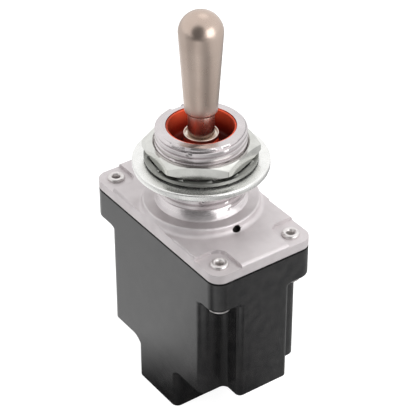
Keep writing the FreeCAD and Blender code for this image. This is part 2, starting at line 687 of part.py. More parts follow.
def locking_ring():
    """Flat ring with an inner key that slides in the bushing's keyway."""
    body = new_body("locking_ring")
    plan = new_sketch(body, "XY_Plane", "ring_height")
    circle(plan, RING_RADIUS)
    circle(plan, "bushing_radius + hardware_gap")
    ring = pad(body, plan, "ring_thickness")
    radius = number(RING_RADIUS)
    dress(body, "Chamfer", ring, lambda edge: is_round(edge, radius), "ring_edge")
    key = new_sketch(body, "XY_Plane", "ring_height")
    half = "(keyway_width / 2 - key_gap)"
    outline(
        key,
        [
            ("-(bushing_radius - keyway_depth + key_gap)", f"-{half}"),
            ("-(bushing_radius - keyway_depth + key_gap)", half),
            ("-(bushing_radius + 2 * hardware_gap)", half),
            ("-(bushing_radius + 2 * hardware_gap)", f"-{half}"),
        ],
    )
    pad(body, key, "ring_thickness")
    return body


def lock_washer():
    """Internal-tooth lock washer: a thin rim whose teeth are twisted out of its plane."""
    body = new_body("lock_washer")
    plan = new_sketch(body, "XY_Plane", WASHER_BOTTOM)
    circle(plan, WASHER_RADIUS)
    circle(plan, f"{WASHER_RADIUS} - washer_rim")
    pad(body, plan, "washer_thickness")
    face = new_sketch(body, "YZ_Plane", "bushing_radius + hardware_gap")
    bind(face, AttachmentOffset__Base__y=f"{WASHER_BOTTOM} + washer_thickness / 2")
    bind(face, AttachmentOffset__Rotation__Angle="tooth_twist * 1 deg")
    rectangle(face, "tooth_width", "washer_thickness")
    tooth = pad(body, face, f"{WASHER_RADIUS} - washer_rim / 2 - bushing_radius - hardware_gap")
    teeth = body.newObject("PartDesign::PolarPattern", "lock_washer_teeth")
    teeth.Originals = [tooth]
    teeth.Axis = (next(f for f in body.Origin.OriginFeatures if f.Role == "Z_Axis"), [""])
    teeth.Angle = 360
    bind(teeth, Occurrences="tooth_count")
    body.Tip = teeth
    doc.recompute()
    return body


def hex_nut():
    """Mounting nut, chamfered on both faces, as it was left on the thread."""
    body = new_body("hex_nut")
    flat = "(bushing_radius + nut_wall)"
    plan = new_sketch(body, "XY_Plane", NUT_BOTTOM)
    outline(
        plan,
        [
            (NUT_CORNER, "0"),
            (f"{NUT_CORNER} / 2", flat),
            (f"-{NUT_CORNER} / 2", flat),
            (f"-{NUT_CORNER}", "0"),
            (f"-{NUT_CORNER} / 2", f"-{flat}"),
            (f"{NUT_CORNER} / 2", f"-{flat}"),
        ],
    )
    circle(plan, "bushing_radius")
    prism = pad(body, plan, "nut_thickness")
    bore = number("bushing_radius")
    dress(body, "Chamfer", prism, lambda edge: is_round(edge, bore), "nut_bore_chamfer")

    # the turned chamfer cuts the corners back to a circle on each face
    for face, inwards in ((f"({NUT_BOTTOM} + nut_thickness)", "-"), (NUT_BOTTOM, "+")):
        chamfer = new_sketch(body, "XZ_Plane")
        outline(
            chamfer,
            [
                (f"{NUT_CORNER} - 2 * nut_chamfer", face),
                (f"{NUT_CORNER} + 2 * nut_chamfer", face),
                (f"{NUT_CORNER} + 2 * nut_chamfer", f"{face} {inwards} 2 * nut_chamfer"),
            ],
        )
        before = body.Shape.Volume
        turn(body, chamfer, "Groove")
        if not body.Shape.Volume < before:
            raise ValueError("hex_nut: a chamfer cuts nothing")
    bind(body, Placement__Rotation__Angle="nut_turn * 1 deg")
    return body


def pivot_retainer():
    """Pressed sleeve that holds the cross pin up against the socket's shoulder."""
    inner = f"({SOCKET_RADIUS} - sleeve_wall)"
    body = turned(
        "pivot_retainer",
        [
            (inner, PLATE_BOTTOM),
            (FLANGE_RADIUS, PLATE_BOTTOM),
            (FLANGE_RADIUS, f"{PLATE_BOTTOM} + flange_thickness"),
            (SOCKET_RADIUS, f"{PLATE_BOTTOM} + flange_thickness"),
            (SOCKET_RADIUS, PIN_TOP),
            (inner, PIN_TOP),
        ],
    )
    # open notches, round at the bottom, in which the pin lies
    seat = new_sketch(body, "XZ_Plane")
    circle(seat, "pin_radius", "0", "pivot_height")
    pocket(body, seat, f"4 * {SOCKET_RADIUS}", both_sides=True)
    slot = new_sketch(body, "XZ_Plane")
    rectangle(slot, "(2 * pin_radius)", "(2 * pin_radius)", y="(pivot_height + pin_radius)")
    pocket(body, slot, f"4 * {SOCKET_RADIUS}", both_sides=True)
    return body


def lever_pin():
    length = f"(2 * ({SOCKET_RADIUS} - pin_end_gap))"
    return crosswise_cylinder("lever_pin", "pin_radius", length, "pivot_height")


def toggle_lever():
    """Bat lever, turned in one piece: bat, stem, ball and lower arm, cross hole and plunger bore."""
    body = new_body("toggle_lever")
    profile = new_sketch(body, "XZ_Plane")
    outline(
        profile,
        [
            ("0", ARM_BOTTOM),
            (ARM_RADIUS, ARM_BOTTOM),
            (ARM_RADIUS, "pivot_height"),
            ("stem_radius", "pivot_height"),
            ("stem_radius", "shoulder_height"),
            ("bat_low_radius - bat_edge", "shoulder_height"),
            ("bat_low_radius", "shoulder_height + bat_edge"),
            ("bat_top_radius", "bat_centre"),
            ("0", "bat_centre"),
        ],
    )
    turn(body, profile)
    for height, radius, label in (
        ("pivot_height", "ball_radius", "ball"), ("bat_centre", "bat_top_radius", "tip")
    ):
        ball = body.newObject("PartDesign::AdditiveSphere", f"lever_{label}")
        bind(ball, Radius=radius, Placement__Base__z=height)
        doc.recompute()
    bore = new_sketch(body, "XY_Plane", ARM_BOTTOM)
    circle(bore, "plunger_radius + running_gap")
    pocket(body, bore, f"{BORE_TOP} - {ARM_BOTTOM}", reverse=True)
    cross = new_sketch(body, "XZ_Plane")
    circle(cross, "pin_radius + running_gap", "0", "pivot_height")
    pocket(body, cross, "4 * ball_radius", both_sides=True)
    return body


def seal_collar():
    """Ring around the stem, on the boot's lip."""
    top = "(lip_height + collar_height)"
    return turned(
        "seal_collar",
        [
            ("stem_radius", "lip_height"),
            (COLLAR_RADIUS, "lip_height"),
            (COLLAR_RADIUS, f"{top} - collar_bevel"),
            (f"{COLLAR_RADIUS} - collar_bevel", top),
            ("stem_radius", top),
        ],
    )


def lever_boot():
    """Rubber boot: a sleeve in the bushing's bore, a trough, and a lip around the stem."""
    inner = "(stem_radius + lip_gap)"
    sleeve = f"({BOOT_BORE} - boot_wall)"
    floor = f"({BOOT_SEAT} + boot_web)"
    return turned(
        "lever_boot",
        [
            (inner, floor),
            (LIP_RADIUS, BOOT_SEAT),
            (BOOT_BORE, BOOT_SEAT),
            (BOOT_BORE, "bushing_height - boot_rim_drop"),
            (sleeve, "bushing_height - boot_rim_drop"),
            (sleeve, f"{floor} + boot_fold"),
            (f"{sleeve} - boot_fold", floor),
            (f"{LIP_RADIUS} + boot_fold", floor),
            (LIP_RADIUS, f"{floor} + boot_fold"),
            (LIP_RADIUS, "lip_height"),
            (inner, "lip_height"),
        ],
    )


def plunger_spring():
    """Helix between the roof of the arm's bore and the plunger, its wire with six flats to keep it light."""
    coil = doc.addObject("Part::Feature", "plunger_spring")
    coil.Label = "plunger_spring"
    wire = number("wire_radius")
    turns = number("spring_turns")
    mean = number("plunger_radius - wire_radius")
    low, high = number(SPRING_SEAT), number(BORE_TOP)
    pitch = (high - low - 2 * wire) / turns
    helix = Part.makeHelix(pitch, pitch * turns, mean)
    ring = [i * math.pi / 3 for i in range(7)]
    section = Part.makePolygon([V(mean + wire * math.cos(a), 0, wire * math.sin(a)) for a in ring])
    coil.Shape = Part.Wire(helix.Edges).makePipeShell([section], True, True)
    coil.Placement = FreeCAD.Placement(V(0, 0, low + wire), FreeCAD.Rotation())
    return coil


def detent_plunger():
    """Plunger with a ball end, and a spigot that centres the spring."""
    body = new_body("detent_plunger")
    profile = new_sketch(body, "XZ_Plane")
    outline(
        profile,
        [
            ("0", TIP_CENTRE),
            ("plunger_radius", TIP_CENTRE),
            ("plunger_radius", SPRING_SEAT),
            ("spigot_radius", SPRING_SEAT),
            ("spigot_radius", f"{SPRING_SEAT} + spigot_length"),
            ("0", f"{SPRING_SEAT} + spigot_length"),
        ],
    )
    turn(body, profile)
    tip = body.newObject("PartDesign::AdditiveSphere", "plunger_tip")
    bind(tip, Radius="plunger_radius", Placement__Base__z=TIP_CENTRE)
    doc.recompute()
    return body


def contact_rocker():
    """Rocker about its own pivot: hub, cradle for the plunger's tip, and two arms."""
    body = new_body("contact_rocker")
    cradle = new_sketch(body, "XZ_Plane")
    outline(
        cradle,
        [
            ("-hub_radius", "0"),
            ("hub_radius", "0"),
            ("cradle_length / 2", "cradle_top", "cradle_edge"),
            ("-cradle_length / 2", "cradle_top", "cradle_edge"),
        ],
    )
    pad(body, cradle, "rocker_width", both_sides=True)
    hub = new_sketch(body, "XZ_Plane")
    circle(hub, "hub_radius")
    pad(body, hub, "rocker_width", both_sides=True)
    arms = new_sketch(body, "XY_Plane", "arm_low")
    rectangle(arms, ROCKER_SPAN, "arm_width", "arm_corner")
    pad(body, arms, "arm_thickness")
    groove = new_sketch(body, "XZ_Plane")
    circle(groove, CAM_RADIUS, "0", "rocker_drop + cam_rise")
    pocket(body, groove, "rocker_width", both_sides=True)
    hole = new_sketch(body, "XZ_Plane")
    circle(hole, "rocker_pin_radius + running_gap")
    pocket(body, hole, "rocker_width", both_sides=True)
    shanks = new_sketch(body, "XY_Plane", "arm_low + arm_thickness")
    for x in (CONTACT_X, f"-{CONTACT_X}"):
        circle(shanks, "shank_radius", x)
    pocket(body, shanks, "arm_thickness")
    bind(body, Placement__Base__z=ROCKER_PIVOT)
    return body


def rocker_pin():
    length = f"({YOKE_WIDTH} + 2 * pin_proud)"
    return crosswise_cylinder("rocker_pin", "rocker_pin_radius", length, ROCKER_PIVOT)


def contacts():
    """Contact rivets: one riveted through each arm of the rocker, one on each end terminal."""
    made = []
    for side, letter in (("", "a"), ("-", "b")):
        top = "(arm_low + arm_thickness)"
        moving = turned(
            f"moving_contact_{letter}",
            [
                ("0", "arm_low - contact_height"),
                ("contact_radius - contact_edge", "arm_low - contact_height"),
                ("contact_radius", "arm_low - contact_height + contact_edge"),
                ("contact_radius", "arm_low"),
                ("shank_radius", "arm_low"),
                ("shank_radius", top),
                ("shank_radius + tail_width", top),
                ("shank_radius", f"{top} + tail_height"),
                ("0", f"{top} + tail_height"),
            ],
        )
        bind(moving, Placement__Base__x=f"{side}{CONTACT_X}", Placement__Base__z=ROCKER_PIVOT)
        fixed = turned(
            f"fixed_contact_{letter}",
            [
                ("0", f"{TAB_TOP} - tab_thickness"),
                ("shank_radius", f"{TAB_TOP} - tab_thickness"),
                ("shank_radius", TAB_TOP),
                ("anvil_radius", TAB_TOP),
                ("anvil_radius", f"{ANVIL_TOP} - contact_edge"),
                ("anvil_radius - contact_edge", ANVIL_TOP),
                ("0", ANVIL_TOP),
            ],
        )
        bind(fixed, Placement__Base__x=f"{side}{ANVIL_X}")
        made += [moving, fixed]
    return made


def terminal_base(body, x, floor, ceiling):
    """Outer disc and the column through the case floor, up to the inside of the case."""
    disc = new_sketch(body, "XY_Plane", ceiling)
    circle(disc, "disc_radius", x)
    pad(body, disc, "disc_thickness", reverse=True)
    column = new_sketch(body, "XY_Plane", ceiling)
    circle(column, COLUMN_RADIUS, x)
    pad(body, column, "floor_thickness")


def tap(body, x, ceiling):
    """The tapped hole of a terminal, from its outer face."""
    hole = new_sketch(body, "XY_Plane", f"{ceiling} - disc_thickness")
    circle(hole, "screw_radius", x)
    pocket(body, hole, "tap_depth", reverse=True)


def end_terminals():
    """End terminals, moulded into the floor, each with a tab that carries a fixed contact."""
    made = []
    for letter, turned_by in (("a", 0), ("b", 180)):
        body = new_body(f"terminal_end_{letter}")
        terminal_base(body, TERMINAL_X, END_FLOOR, END_CEILING)
        tab = new_sketch(body, "XY_Plane", END_FLOOR)
        inner = f"({ANVIL_X} - tab_inset)"
        outer = f"({CAVITY_LENGTH} / 2 - running_gap)"
        outline(
            tab,
            [
                (inner, "-tab_width / 2"),
                (outer, "-tab_width / 2"),
                (outer, "tab_width / 2"),
                (inner, "tab_width / 2"),
            ],
        )
        pad(body, tab, "tab_thickness")
        hole = new_sketch(body, "XY_Plane", TAB_TOP)
        circle(hole, "shank_radius", ANVIL_X)
        pocket(body, hole, "tab_thickness")
        tap(body, TERMINAL_X, END_CEILING)
        body.Placement = FreeCAD.Placement(V(0, 0, 0), FreeCAD.Rotation(V(0, 0, 1), turned_by))
        made.append(body)
    return made


def terminal_common():
    """Middle terminal: column, and a yoke whose two ears carry the rocker's pin."""
    body = new_body("terminal_common")
    terminal_base(body, "0", WELL_FLOOR, WELL_CEILING)
    base = new_sketch(body, "XY_Plane", WELL_FLOOR)
    rectangle(base, "yoke_length", YOKE_WIDTH)
    pad(body, base, "tab_thickness")
    for side in ("", "-"):
        middle = f"{side}({YOKE_INNER} + ear_thickness / 2)"
        web = new_sketch(body, "XZ_Plane", middle)
        outline(
            web,
            [
                ("-yoke_length / 2", WELL_FLOOR),
                ("yoke_length / 2", WELL_FLOOR),
                ("ear_top", ROCKER_PIVOT),
                ("-ear_top", ROCKER_PIVOT),
            ],
        )
        pad(body, web, "ear_thickness", both_sides=True)
        eye = new_sketch(body, "XZ_Plane", middle)
        circle(eye, "ear_top", "0", ROCKER_PIVOT)
        pad(body, eye, "ear_thickness", both_sides=True)
    hole = new_sketch(body, "XZ_Plane")
    circle(hole, "rocker_pin_radius", "0", ROCKER_PIVOT)
    pocket(body, hole, "2 * rocker_width", both_sides=True)
    tap(body, "0", WELL_CEILING)
    return body


def terminal_hardware():
    """A slotted screw and a washer under its head for each terminal, heads down."""
    made = []
    for i, (x, ceiling) in enumerate(
        ((f"-{TERMINAL_X}", END_CEILING), ("0", WELL_CEILING), (TERMINAL_X, END_CEILING)), start=1
    ):
        seat = f"({ceiling} - disc_thickness)"
        under = f"({seat} - screw_washer_thickness)"
        washer = turned(
            f"terminal_washer_{i}",
            [
                ("screw_radius + screw_washer_gap", under),
                ("disc_radius - screw_washer_inset", under),
                ("disc_radius - screw_washer_inset", seat),
                ("screw_radius + screw_washer_gap", seat),
            ],
        )
        screw = turned(
            f"terminal_screw_{i}",
            [
                ("0", f"{under} - head_height"),
                (f"{HEAD_RADIUS} - head_edge", f"{under} - head_height"),
                (HEAD_RADIUS, f"{under} - head_height + head_edge"),
                (HEAD_RADIUS, under),
                ("screw_radius", under),
                ("screw_radius", f"{seat} + tap_depth - tap_spare"),
                ("0", f"{seat} + tap_depth - tap_spare"),
            ],
        )
        slot = new_sketch(screw, "XY_Plane", f"{under} - head_height")
        rectangle(slot, "slot_width", f"(3 * {HEAD_RADIUS})")
        pocket(screw, slot, "slot_depth", reverse=True)
        for piece in (washer, screw):
            bind(piece, Placement__Base__x=x)
            made.append(piece)
    return made


def build_all():
    """Every piece, in the order in which the switch goes together."""
    made = [switch_case(), *end_terminals(), terminal_common(), rocker_pin()]
    made += [contact_rocker(), *contacts(), case_gasket()]
    made += [cover_and_bushing(), toggle_lever(), lever_pin(), pivot_retainer()]
    made += [plunger_spring(), detent_plunger(), lever_boot(), seal_collar()]
    made += cover_rivets()
    made += terminal_hardware()
    made += [locking_ring(), lock_washer(), hex_nut()]
    return made


pieces = build_all()
doc.recompute()
for thing in doc.Objects:
    if "Invalid" in thing.State or "Error" in thing.State:
        raise ValueError(f"{thing.Label} failed: {thing.State}")
os.makedirs("parts", exist_ok=True)
for piece in pieces:
    if piece.Shape.isNull() or not piece.Shape.isValid():
        raise ValueError(f"{piece.Label} has no valid shape")
for piece in pieces:
    piece.Shape.exportStep(f"parts/{piece.Label}.step")
    print(piece.Label, len(piece.Shape.Solids), round(piece.Shape.Volume, 2))
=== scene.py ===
import math

import bpy
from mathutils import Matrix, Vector


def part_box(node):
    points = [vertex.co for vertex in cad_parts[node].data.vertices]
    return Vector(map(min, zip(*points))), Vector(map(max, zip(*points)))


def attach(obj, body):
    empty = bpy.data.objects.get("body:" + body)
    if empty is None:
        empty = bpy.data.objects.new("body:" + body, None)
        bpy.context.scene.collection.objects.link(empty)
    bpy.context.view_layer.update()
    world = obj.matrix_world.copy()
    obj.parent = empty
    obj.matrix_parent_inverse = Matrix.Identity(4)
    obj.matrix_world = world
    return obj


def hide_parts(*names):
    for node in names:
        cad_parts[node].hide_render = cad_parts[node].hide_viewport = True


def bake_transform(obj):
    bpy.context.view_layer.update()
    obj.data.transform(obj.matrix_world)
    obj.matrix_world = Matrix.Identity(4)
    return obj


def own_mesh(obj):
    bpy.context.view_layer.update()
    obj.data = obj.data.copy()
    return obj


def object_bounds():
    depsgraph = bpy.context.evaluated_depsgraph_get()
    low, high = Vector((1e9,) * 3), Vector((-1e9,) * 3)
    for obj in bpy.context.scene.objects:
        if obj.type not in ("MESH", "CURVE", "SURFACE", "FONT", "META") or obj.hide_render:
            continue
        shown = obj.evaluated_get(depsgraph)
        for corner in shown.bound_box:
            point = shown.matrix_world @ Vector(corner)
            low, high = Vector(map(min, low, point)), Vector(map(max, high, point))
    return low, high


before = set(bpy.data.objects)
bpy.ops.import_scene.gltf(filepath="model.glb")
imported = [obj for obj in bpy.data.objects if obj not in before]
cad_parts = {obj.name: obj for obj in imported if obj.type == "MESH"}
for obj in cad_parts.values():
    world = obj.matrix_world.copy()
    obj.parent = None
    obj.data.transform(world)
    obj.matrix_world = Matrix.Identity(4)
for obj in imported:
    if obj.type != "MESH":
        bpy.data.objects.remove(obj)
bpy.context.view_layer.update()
bpy.ops.object.select_all(action="DESELECT")
MM = 0.001


# The case: one thick-walled moulding in black phenolic, glossy from the mould. It holds the
# terminals, stands on the foot in its middle, and has a pier on each short side. Its corners are
# scalloped just deep enough for the rivets' heads.
def make_active(piece):
    """Select this piece alone."""
    bpy.ops.object.select_all(action="DESELECT")
    piece.select_set(True)
    bpy.context.view_layer.objects.active = piece


def smooth(piece, degrees=30):
    """Smooth shading, with every edge sharper than this left sharp."""
    make_active(piece)
    bpy.ops.object.shade_smooth_by_angle(angle=math.radians(degrees))


def even(piece, below=math.inf):
    """Smooth shading that leaves flat faces looking flat, on corners below a height."""
    smooth(piece)
    flats = piece.vertex_groups.new(name="flats")
    flats.add([corner.index for corner in piece.data.vertices if corner.co.z < below], 1.0, "REPLACE")
    weighted = piece.modifiers.new("even normals", "WEIGHTED_NORMAL")
    weighted.keep_sharp = True
    weighted.vertex_group = flats.name
    bpy.ops.object.modifier_apply(modifier=weighted.name)
    piece.vertex_groups.clear()


def merged_copy(node, name):
    """The shape that the maker's drawing gives, as a closed smooth mesh."""
    piece = bpy.data.objects.new(name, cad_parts[node].data.copy())
    bpy.context.collection.objects.link(piece)
    piece.data.materials.clear()
    make_active(piece)
    bpy.ops.object.mode_set(mode="EDIT")
    bpy.ops.mesh.select_all(action="SELECT")
    bpy.ops.mesh.remove_doubles(threshold=2e-7)
    bpy.ops.mesh.dissolve_limited(angle_limit=math.radians(0.4))
    bpy.ops.object.mode_set(mode="OBJECT")
    even(piece)
    return piece


def fit(piece, body, slot, material, *nodes):
    """Give a finished piece its finish and its place in the switch."""
    piece.data.materials.clear()
    piece.data.materials.append(material)
    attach(piece, body)
    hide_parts(*nodes)


def finish(name, colour, roughness, metallic=0.0, **sockets):
    """A new material. What is the same all over is set on the shader's own sockets."""
    material = bpy.data.materials.new(name)
    material.use_nodes = True
    shader = material.node_tree.nodes["Principled BSDF"]
    shader.inputs["Base Color"].default_value = (*colour, 1)
    shader.inputs["Roughness"].default_value = roughness
    shader.inputs["Metallic"].default_value = metallic
    for socket, value in sockets.items():
        shader.inputs[socket.replace("_", " ")].default_value = value
    return material


def speckle(material, scale, detail=3.0, stretch=(1, 1, 1)):
    """Noise in the piece's own place, closer along an axis whose stretch is larger."""
    nodes, links = material.node_tree.nodes, material.node_tree.links
    place = nodes.new("ShaderNodeTexCoord")
    mapping = nodes.new("ShaderNodeMapping")
    mapping.inputs["Scale"].default_value = stretch
    noise = nodes.new("ShaderNodeTexNoise")
    noise.inputs["Scale"].default_value = scale
    noise.inputs["Detail"].default_value = detail
    links.new(place.outputs["Object"], mapping.inputs["Vector"])
    links.new(mapping.outputs["Vector"], noise.inputs["Vector"])
    return noise


def tint(material, noise, dark, light):
    """Let the colour wander between two tones."""
    nodes, links = material.node_tree.nodes, material.node_tree.links
    ramp = nodes.new("ShaderNodeValToRGB")
    ramp.color_ramp.elements[0].position = 0.35
    ramp.color_ramp.elements[0].color = (*dark, 1)
    ramp.color_ramp.elements[1].position = 0.65
    ramp.color_ramp.elements[1].color = (*light, 1)
    links.new(noise.outputs["Fac"], ramp.inputs["Fac"])
    links.new(ramp.outputs["Color"], nodes["Principled BSDF"].inputs["Base Color"])
    return ramp


def dull(material, noise, low, high):
    """Let the roughness wander between two values."""
    nodes, links = material.node_tree.nodes, material.node_tree.links
    spread = nodes.new("ShaderNodeMapRange")
    spread.inputs["From Min"].default_value = 0.3
    spread.inputs["From Max"].default_value = 0.7
    spread.inputs["To Min"].default_value = low
    spread.inputs["To Max"].default_value = high
    links.new(noise.outputs["Fac"], spread.inputs["Value"])
    links.new(spread.outputs["Result"], nodes["Principled BSDF"].inputs["Roughness"])


def relief(material, noise, depth):
    """Raise and sink the surface by about this depth."""
    nodes, links = material.node_tree.nodes, material.node_tree.links
    bump = nodes.new("ShaderNodeBump")
    bump.inputs["Distance"].default_value = depth
    shader = nodes["Principled BSDF"]
    if shader.inputs["Normal"].is_linked:
        links.new(shader.inputs["Normal"].links[0].from_socket, bump.inputs["Normal"])
    links.new(noise.outputs["Fac"], bump.inputs["Height"])
    links.new(bump.outputs["Normal"], shader.inputs["Normal"])


DRAWN_SCALLOP = -11.7 * MM
SHALLOW_SCALLOP = -8.52 * MM
CORNERS_FROM = 9 * MM
phenolic = finish("black_phenolic", (0.011, 0.011, 0.0115), 0.16, IOR=1.58)
tint(phenolic, speckle(phenolic, 700), (0.008, 0.008, 0.0085), (0.016, 0.0155, 0.0155))
dull(phenolic, speckle(phenolic, 300), 0.13, 0.19)
relief(phenolic, speckle(phenolic, 220, 2.0), 0.000005)
relief(phenolic, speckle(phenolic, 4200, 2.0), 0.0000006)
case = merged_copy("switch_case", "moulded_case")
for corner in case.data.vertices:
    if abs(corner.co.z - DRAWN_SCALLOP) < 1e-6 and abs(corner.co.x) > CORNERS_FROM:
        corner.co.z = SHALLOW_SCALLOP
even(case)
fit(case, "root", "case_moulding", phenolic, "switch_case")


# The terminals: turned and stamped brass, moulded into the case floor. Each end one carries a
# silver contact riveted to its tab, the middle one carries the yoke in which the rocker hangs.
brass = finish("satin_brass", (0.72, 0.5, 0.2), 0.3, 1.0)
tint(brass, speckle(brass, 700), (0.6, 0.4, 0.15), (0.78, 0.57, 0.27))
dull(brass, speckle(brass, 1500), 0.24, 0.4)
relief(brass, speckle(brass, 5200, 4.0, (1, 1, 0.2)), 0.000003)
silver = finish("contact_silver", (0.82, 0.81, 0.78), 0.26, 1.0)
tint(silver, speckle(silver, 1300), (0.68, 0.66, 0.6), (0.88, 0.87, 0.85))
dull(silver, speckle(silver, 2600), 0.2, 0.36)
for letter in ("a", "b"):
    terminal = merged_copy(f"terminal_end_{letter}", f"end_terminal_{letter}")
    fit(terminal, "root", "terminal_brass", brass, f"terminal_end_{letter}")
    anvil = merged_copy(f"fixed_contact_{letter}", f"anvil_contact_{letter}")
    fit(anvil, "root", "contact_silver", silver, f"fixed_contact_{letter}")
yoke = merged_copy("terminal_common", "yoke_terminal")
fit(yoke, "root", "terminal_brass", brass, "terminal_common")


# The rocker: a thick brass strip folded into a hub and a cradle, with a silver button riveted
# through each arm. It turns on a plain steel pin, cut from rod and broken at its edges.
def crosswise_pin(name, low, high):
    """A pin along Y with broken edges, as wide and long as the box between two corners."""
    middle = (low.z + high.z) / 2
    bpy.ops.mesh.primitive_cylinder_add(
        vertices=48,
        radius=(high.z - low.z) / 2,
        depth=high.y - low.y,
        location=(0, 0, middle),
        rotation=(math.pi / 2, 0, 0),
    )
    piece = bpy.context.object
    piece.name = name
    bpy.ops.object.transform_apply(location=True, rotation=True, scale=True)
    bevel = piece.modifiers.new("broken edges", "BEVEL")
    bevel.width = 0.12 * MM
    bevel.segments = 3
    bpy.ops.object.modifier_apply(modifier=bevel.name)
    smooth(piece)
    return piece


rocker_brass = finish("rocker_brass", (0.68, 0.48, 0.22), 0.34, 1.0)
tint(rocker_brass, speckle(rocker_brass, 800), (0.55, 0.38, 0.17), (0.74, 0.54, 0.27))
dull(rocker_brass, speckle(rocker_brass, 1800, 3.0, (0.2, 1, 1)), 0.26, 0.42)
relief(rocker_brass, speckle(rocker_brass, 5600, 3.0, (0.1, 1, 1)), 0.000004)
rocker = merged_copy("contact_rocker", "rocker_strip")
fit(rocker, "rocker", "rocker_brass", rocker_brass, "contact_rocker")
for letter in ("a", "b"):
    button = merged_copy(f"moving_contact_{letter}", f"button_contact_{letter}")
    fit(button, "rocker", "contact_silver", silver, f"moving_contact_{letter}")
steel = finish("bright_steel", (0.58, 0.58, 0.59), 0.24, 1.0)
dull(steel, speckle(steel, 2200, 4.0, (0.15, 1, 1)), 0.18, 0.34)
relief(steel, speckle(steel, 6400, 2.0, (0.1, 1, 1)), 0.000002)
hinge_pin = crosswise_pin("rocker_hinge_pin", *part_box("rocker_pin"))
fit(hinge_pin, "root", "pin_steel", steel, "rocker_pin")


# The gasket: a thin sheet of black rubber, cut to the cover's outline. It shows as a dull dark
# line all round the top of the case.
rubber = finish("gasket_rubber", (0.006, 0.006, 0.006), 0.75, Specular_IOR_Level=0.08)
tint(rubber, speckle(rubber, 2600), (0.004, 0.004, 0.004), (0.009, 0.009, 0.009))
relief(rubber, speckle(rubber, 5200, 4.0), 0.00001)
gasket = merged_copy("case_gasket", "rubber_gasket")
fit(gasket, "root", "gasket_rubber", rubber, "case_gasket")


# The cover: a plated die casting in one piece with the bushing, sunk at its corners for the
# rivets. The mounting thread, 32 to the inch, is cut after casting, and the keyway through it.
# An oval hole is drilled askew where the boss meets the plate, and its wall is painted dark as shade.
def by_height(material, socket, low, high, stops):
    """Change a colour or a value up the piece, between two heights. A stop is (share, value)."""
    nodes, links = material.node_tree.nodes, material.node_tree.links
    place = nodes.new("ShaderNodeTexCoord")
    apart = nodes.new("ShaderNodeSeparateXYZ")
    spread = nodes.new("ShaderNodeMapRange")
    spread.inputs["From Min"].default_value = low
    spread.inputs["From Max"].default_value = high
    ramp = nodes.new("ShaderNodeValToRGB")
    while len(ramp.color_ramp.elements) < len(stops):
        ramp.color_ramp.elements.new(0.5)
    for element, (share, value) in zip(ramp.color_ramp.elements, stops):
        element.position = share
        element.color = (*value, 1)
    links.new(place.outputs["Object"], apart.inputs["Vector"])
    links.new(apart.outputs["Z"], spread.inputs["Value"])
    links.new(spread.outputs["Result"], ramp.inputs["Fac"])
    links.new(ramp.outputs["Color"], nodes["Principled BSDF"].inputs[socket])


def vector_math(nodes, operation, *values):
    """A vector sum, product or length. The values fill its inputs from the second on."""
    node = nodes.new("ShaderNodeVectorMath")
    node.operation = operation
    for i, value in enumerate(values):
        node.inputs[i + 1].default_value = value
    return node


def painted_hole_shade(material, around, centre, axis, oval, radius, edge):
    """Painted shade on the wall of a hole that is longer along Y, and the given colour around it."""
    nodes, links = material.node_tree.nodes, material.node_tree.links
    place = nodes.new("ShaderNodeTexCoord")
    from_centre = vector_math(nodes, "MULTIPLY_ADD", (1, 1 / oval, 1), -centre)
    links.new(place.outputs["Object"], from_centre.inputs[0])
    aside = vector_math(nodes, "CROSS_PRODUCT", axis)
    links.new(from_centre.outputs["Vector"], aside.inputs[0])
    off_axis = vector_math(nodes, "LENGTH")
    links.new(aside.outputs["Vector"], off_axis.inputs[0])
    shade_share = nodes.new("ShaderNodeMapRange")
    shade_share.inputs["From Min"].default_value = radius
    shade_share.inputs["From Max"].default_value = radius + edge
    links.new(off_axis.outputs["Value"], shade_share.inputs["Value"])
    # In a mix of colours, inputs 6 and 7 are the two colours and output 2 is the result.
    colours = nodes.new("ShaderNodeMix")
    colours.data_type = "RGBA"
    # The first colour is the painted shade inside the hole.
    colours.inputs[6].default_value = (0.05, 0.047, 0.045, 1)
    links.new(shade_share.outputs["Result"], colours.inputs[0])
    links.new(around.outputs["Color"], colours.inputs[7])
    links.new(colours.outputs[2], nodes["Principled BSDF"].inputs["Base Color"])


def drawn_outline(name, points, closed):
    """A line through (radius, height) points, drawn in the plane of X and Z."""
    bpy.ops.object.select_all(action="DESELECT")
    bpy.ops.mesh.primitive_plane_add(size=1)
    piece = bpy.context.object
    piece.name = name
    bpy.ops.object.mode_set(mode="EDIT")
    bpy.ops.mesh.select_all(action="SELECT")
    bpy.ops.mesh.merge(type="CENTER")
    radius, height = points[0]
    bpy.ops.transform.translate(value=(radius, 0, height))
    for following in points[1:] + points[:1] * closed:
        step = (following[0] - radius, 0, following[1] - height)
        bpy.ops.mesh.extrude_vertices_move(TRANSFORM_OT_translate={"value": step})
        radius, height = following
    bpy.ops.mesh.select_all(action="SELECT")
    bpy.ops.mesh.remove_doubles(threshold=1e-7)
    return piece


def wound(name, points, start, pitch, turns, steps):
    """A closed section carried round Z as a helix, with its two ends filled."""
    piece = drawn_outline(name, points, True)
    bpy.ops.transform.translate(value=(0, 0, start))
    bpy.ops.object.mode_set(mode="OBJECT")
    screw = piece.modifiers.new("helix", "SCREW")
    screw.screw_offset = pitch
    screw.iterations = turns
    screw.steps = steps
    screw.render_steps = steps
    bpy.ops.object.modifier_apply(modifier=screw.name)
    bpy.ops.object.mode_set(mode="EDIT")
    bpy.ops.mesh.select_all(action="SELECT")
    bpy.ops.mesh.fill_holes(sides=len(points))
    bpy.ops.mesh.normals_make_consistent(inside=False)
    bpy.ops.object.mode_set(mode="OBJECT")
    return piece


def carve(piece, tool, operation="DIFFERENCE"):
    """Cut the piece with a tool, or join it on. The tool is used up."""
    make_active(piece)
    cut = piece.modifiers.new("cut", "BOOLEAN")
    cut.operation = operation
    cut.object = tool
    cut.solver = "EXACT"
    bpy.ops.object.modifier_apply(modifier=cut.name)
    bpy.data.objects.remove(tool)


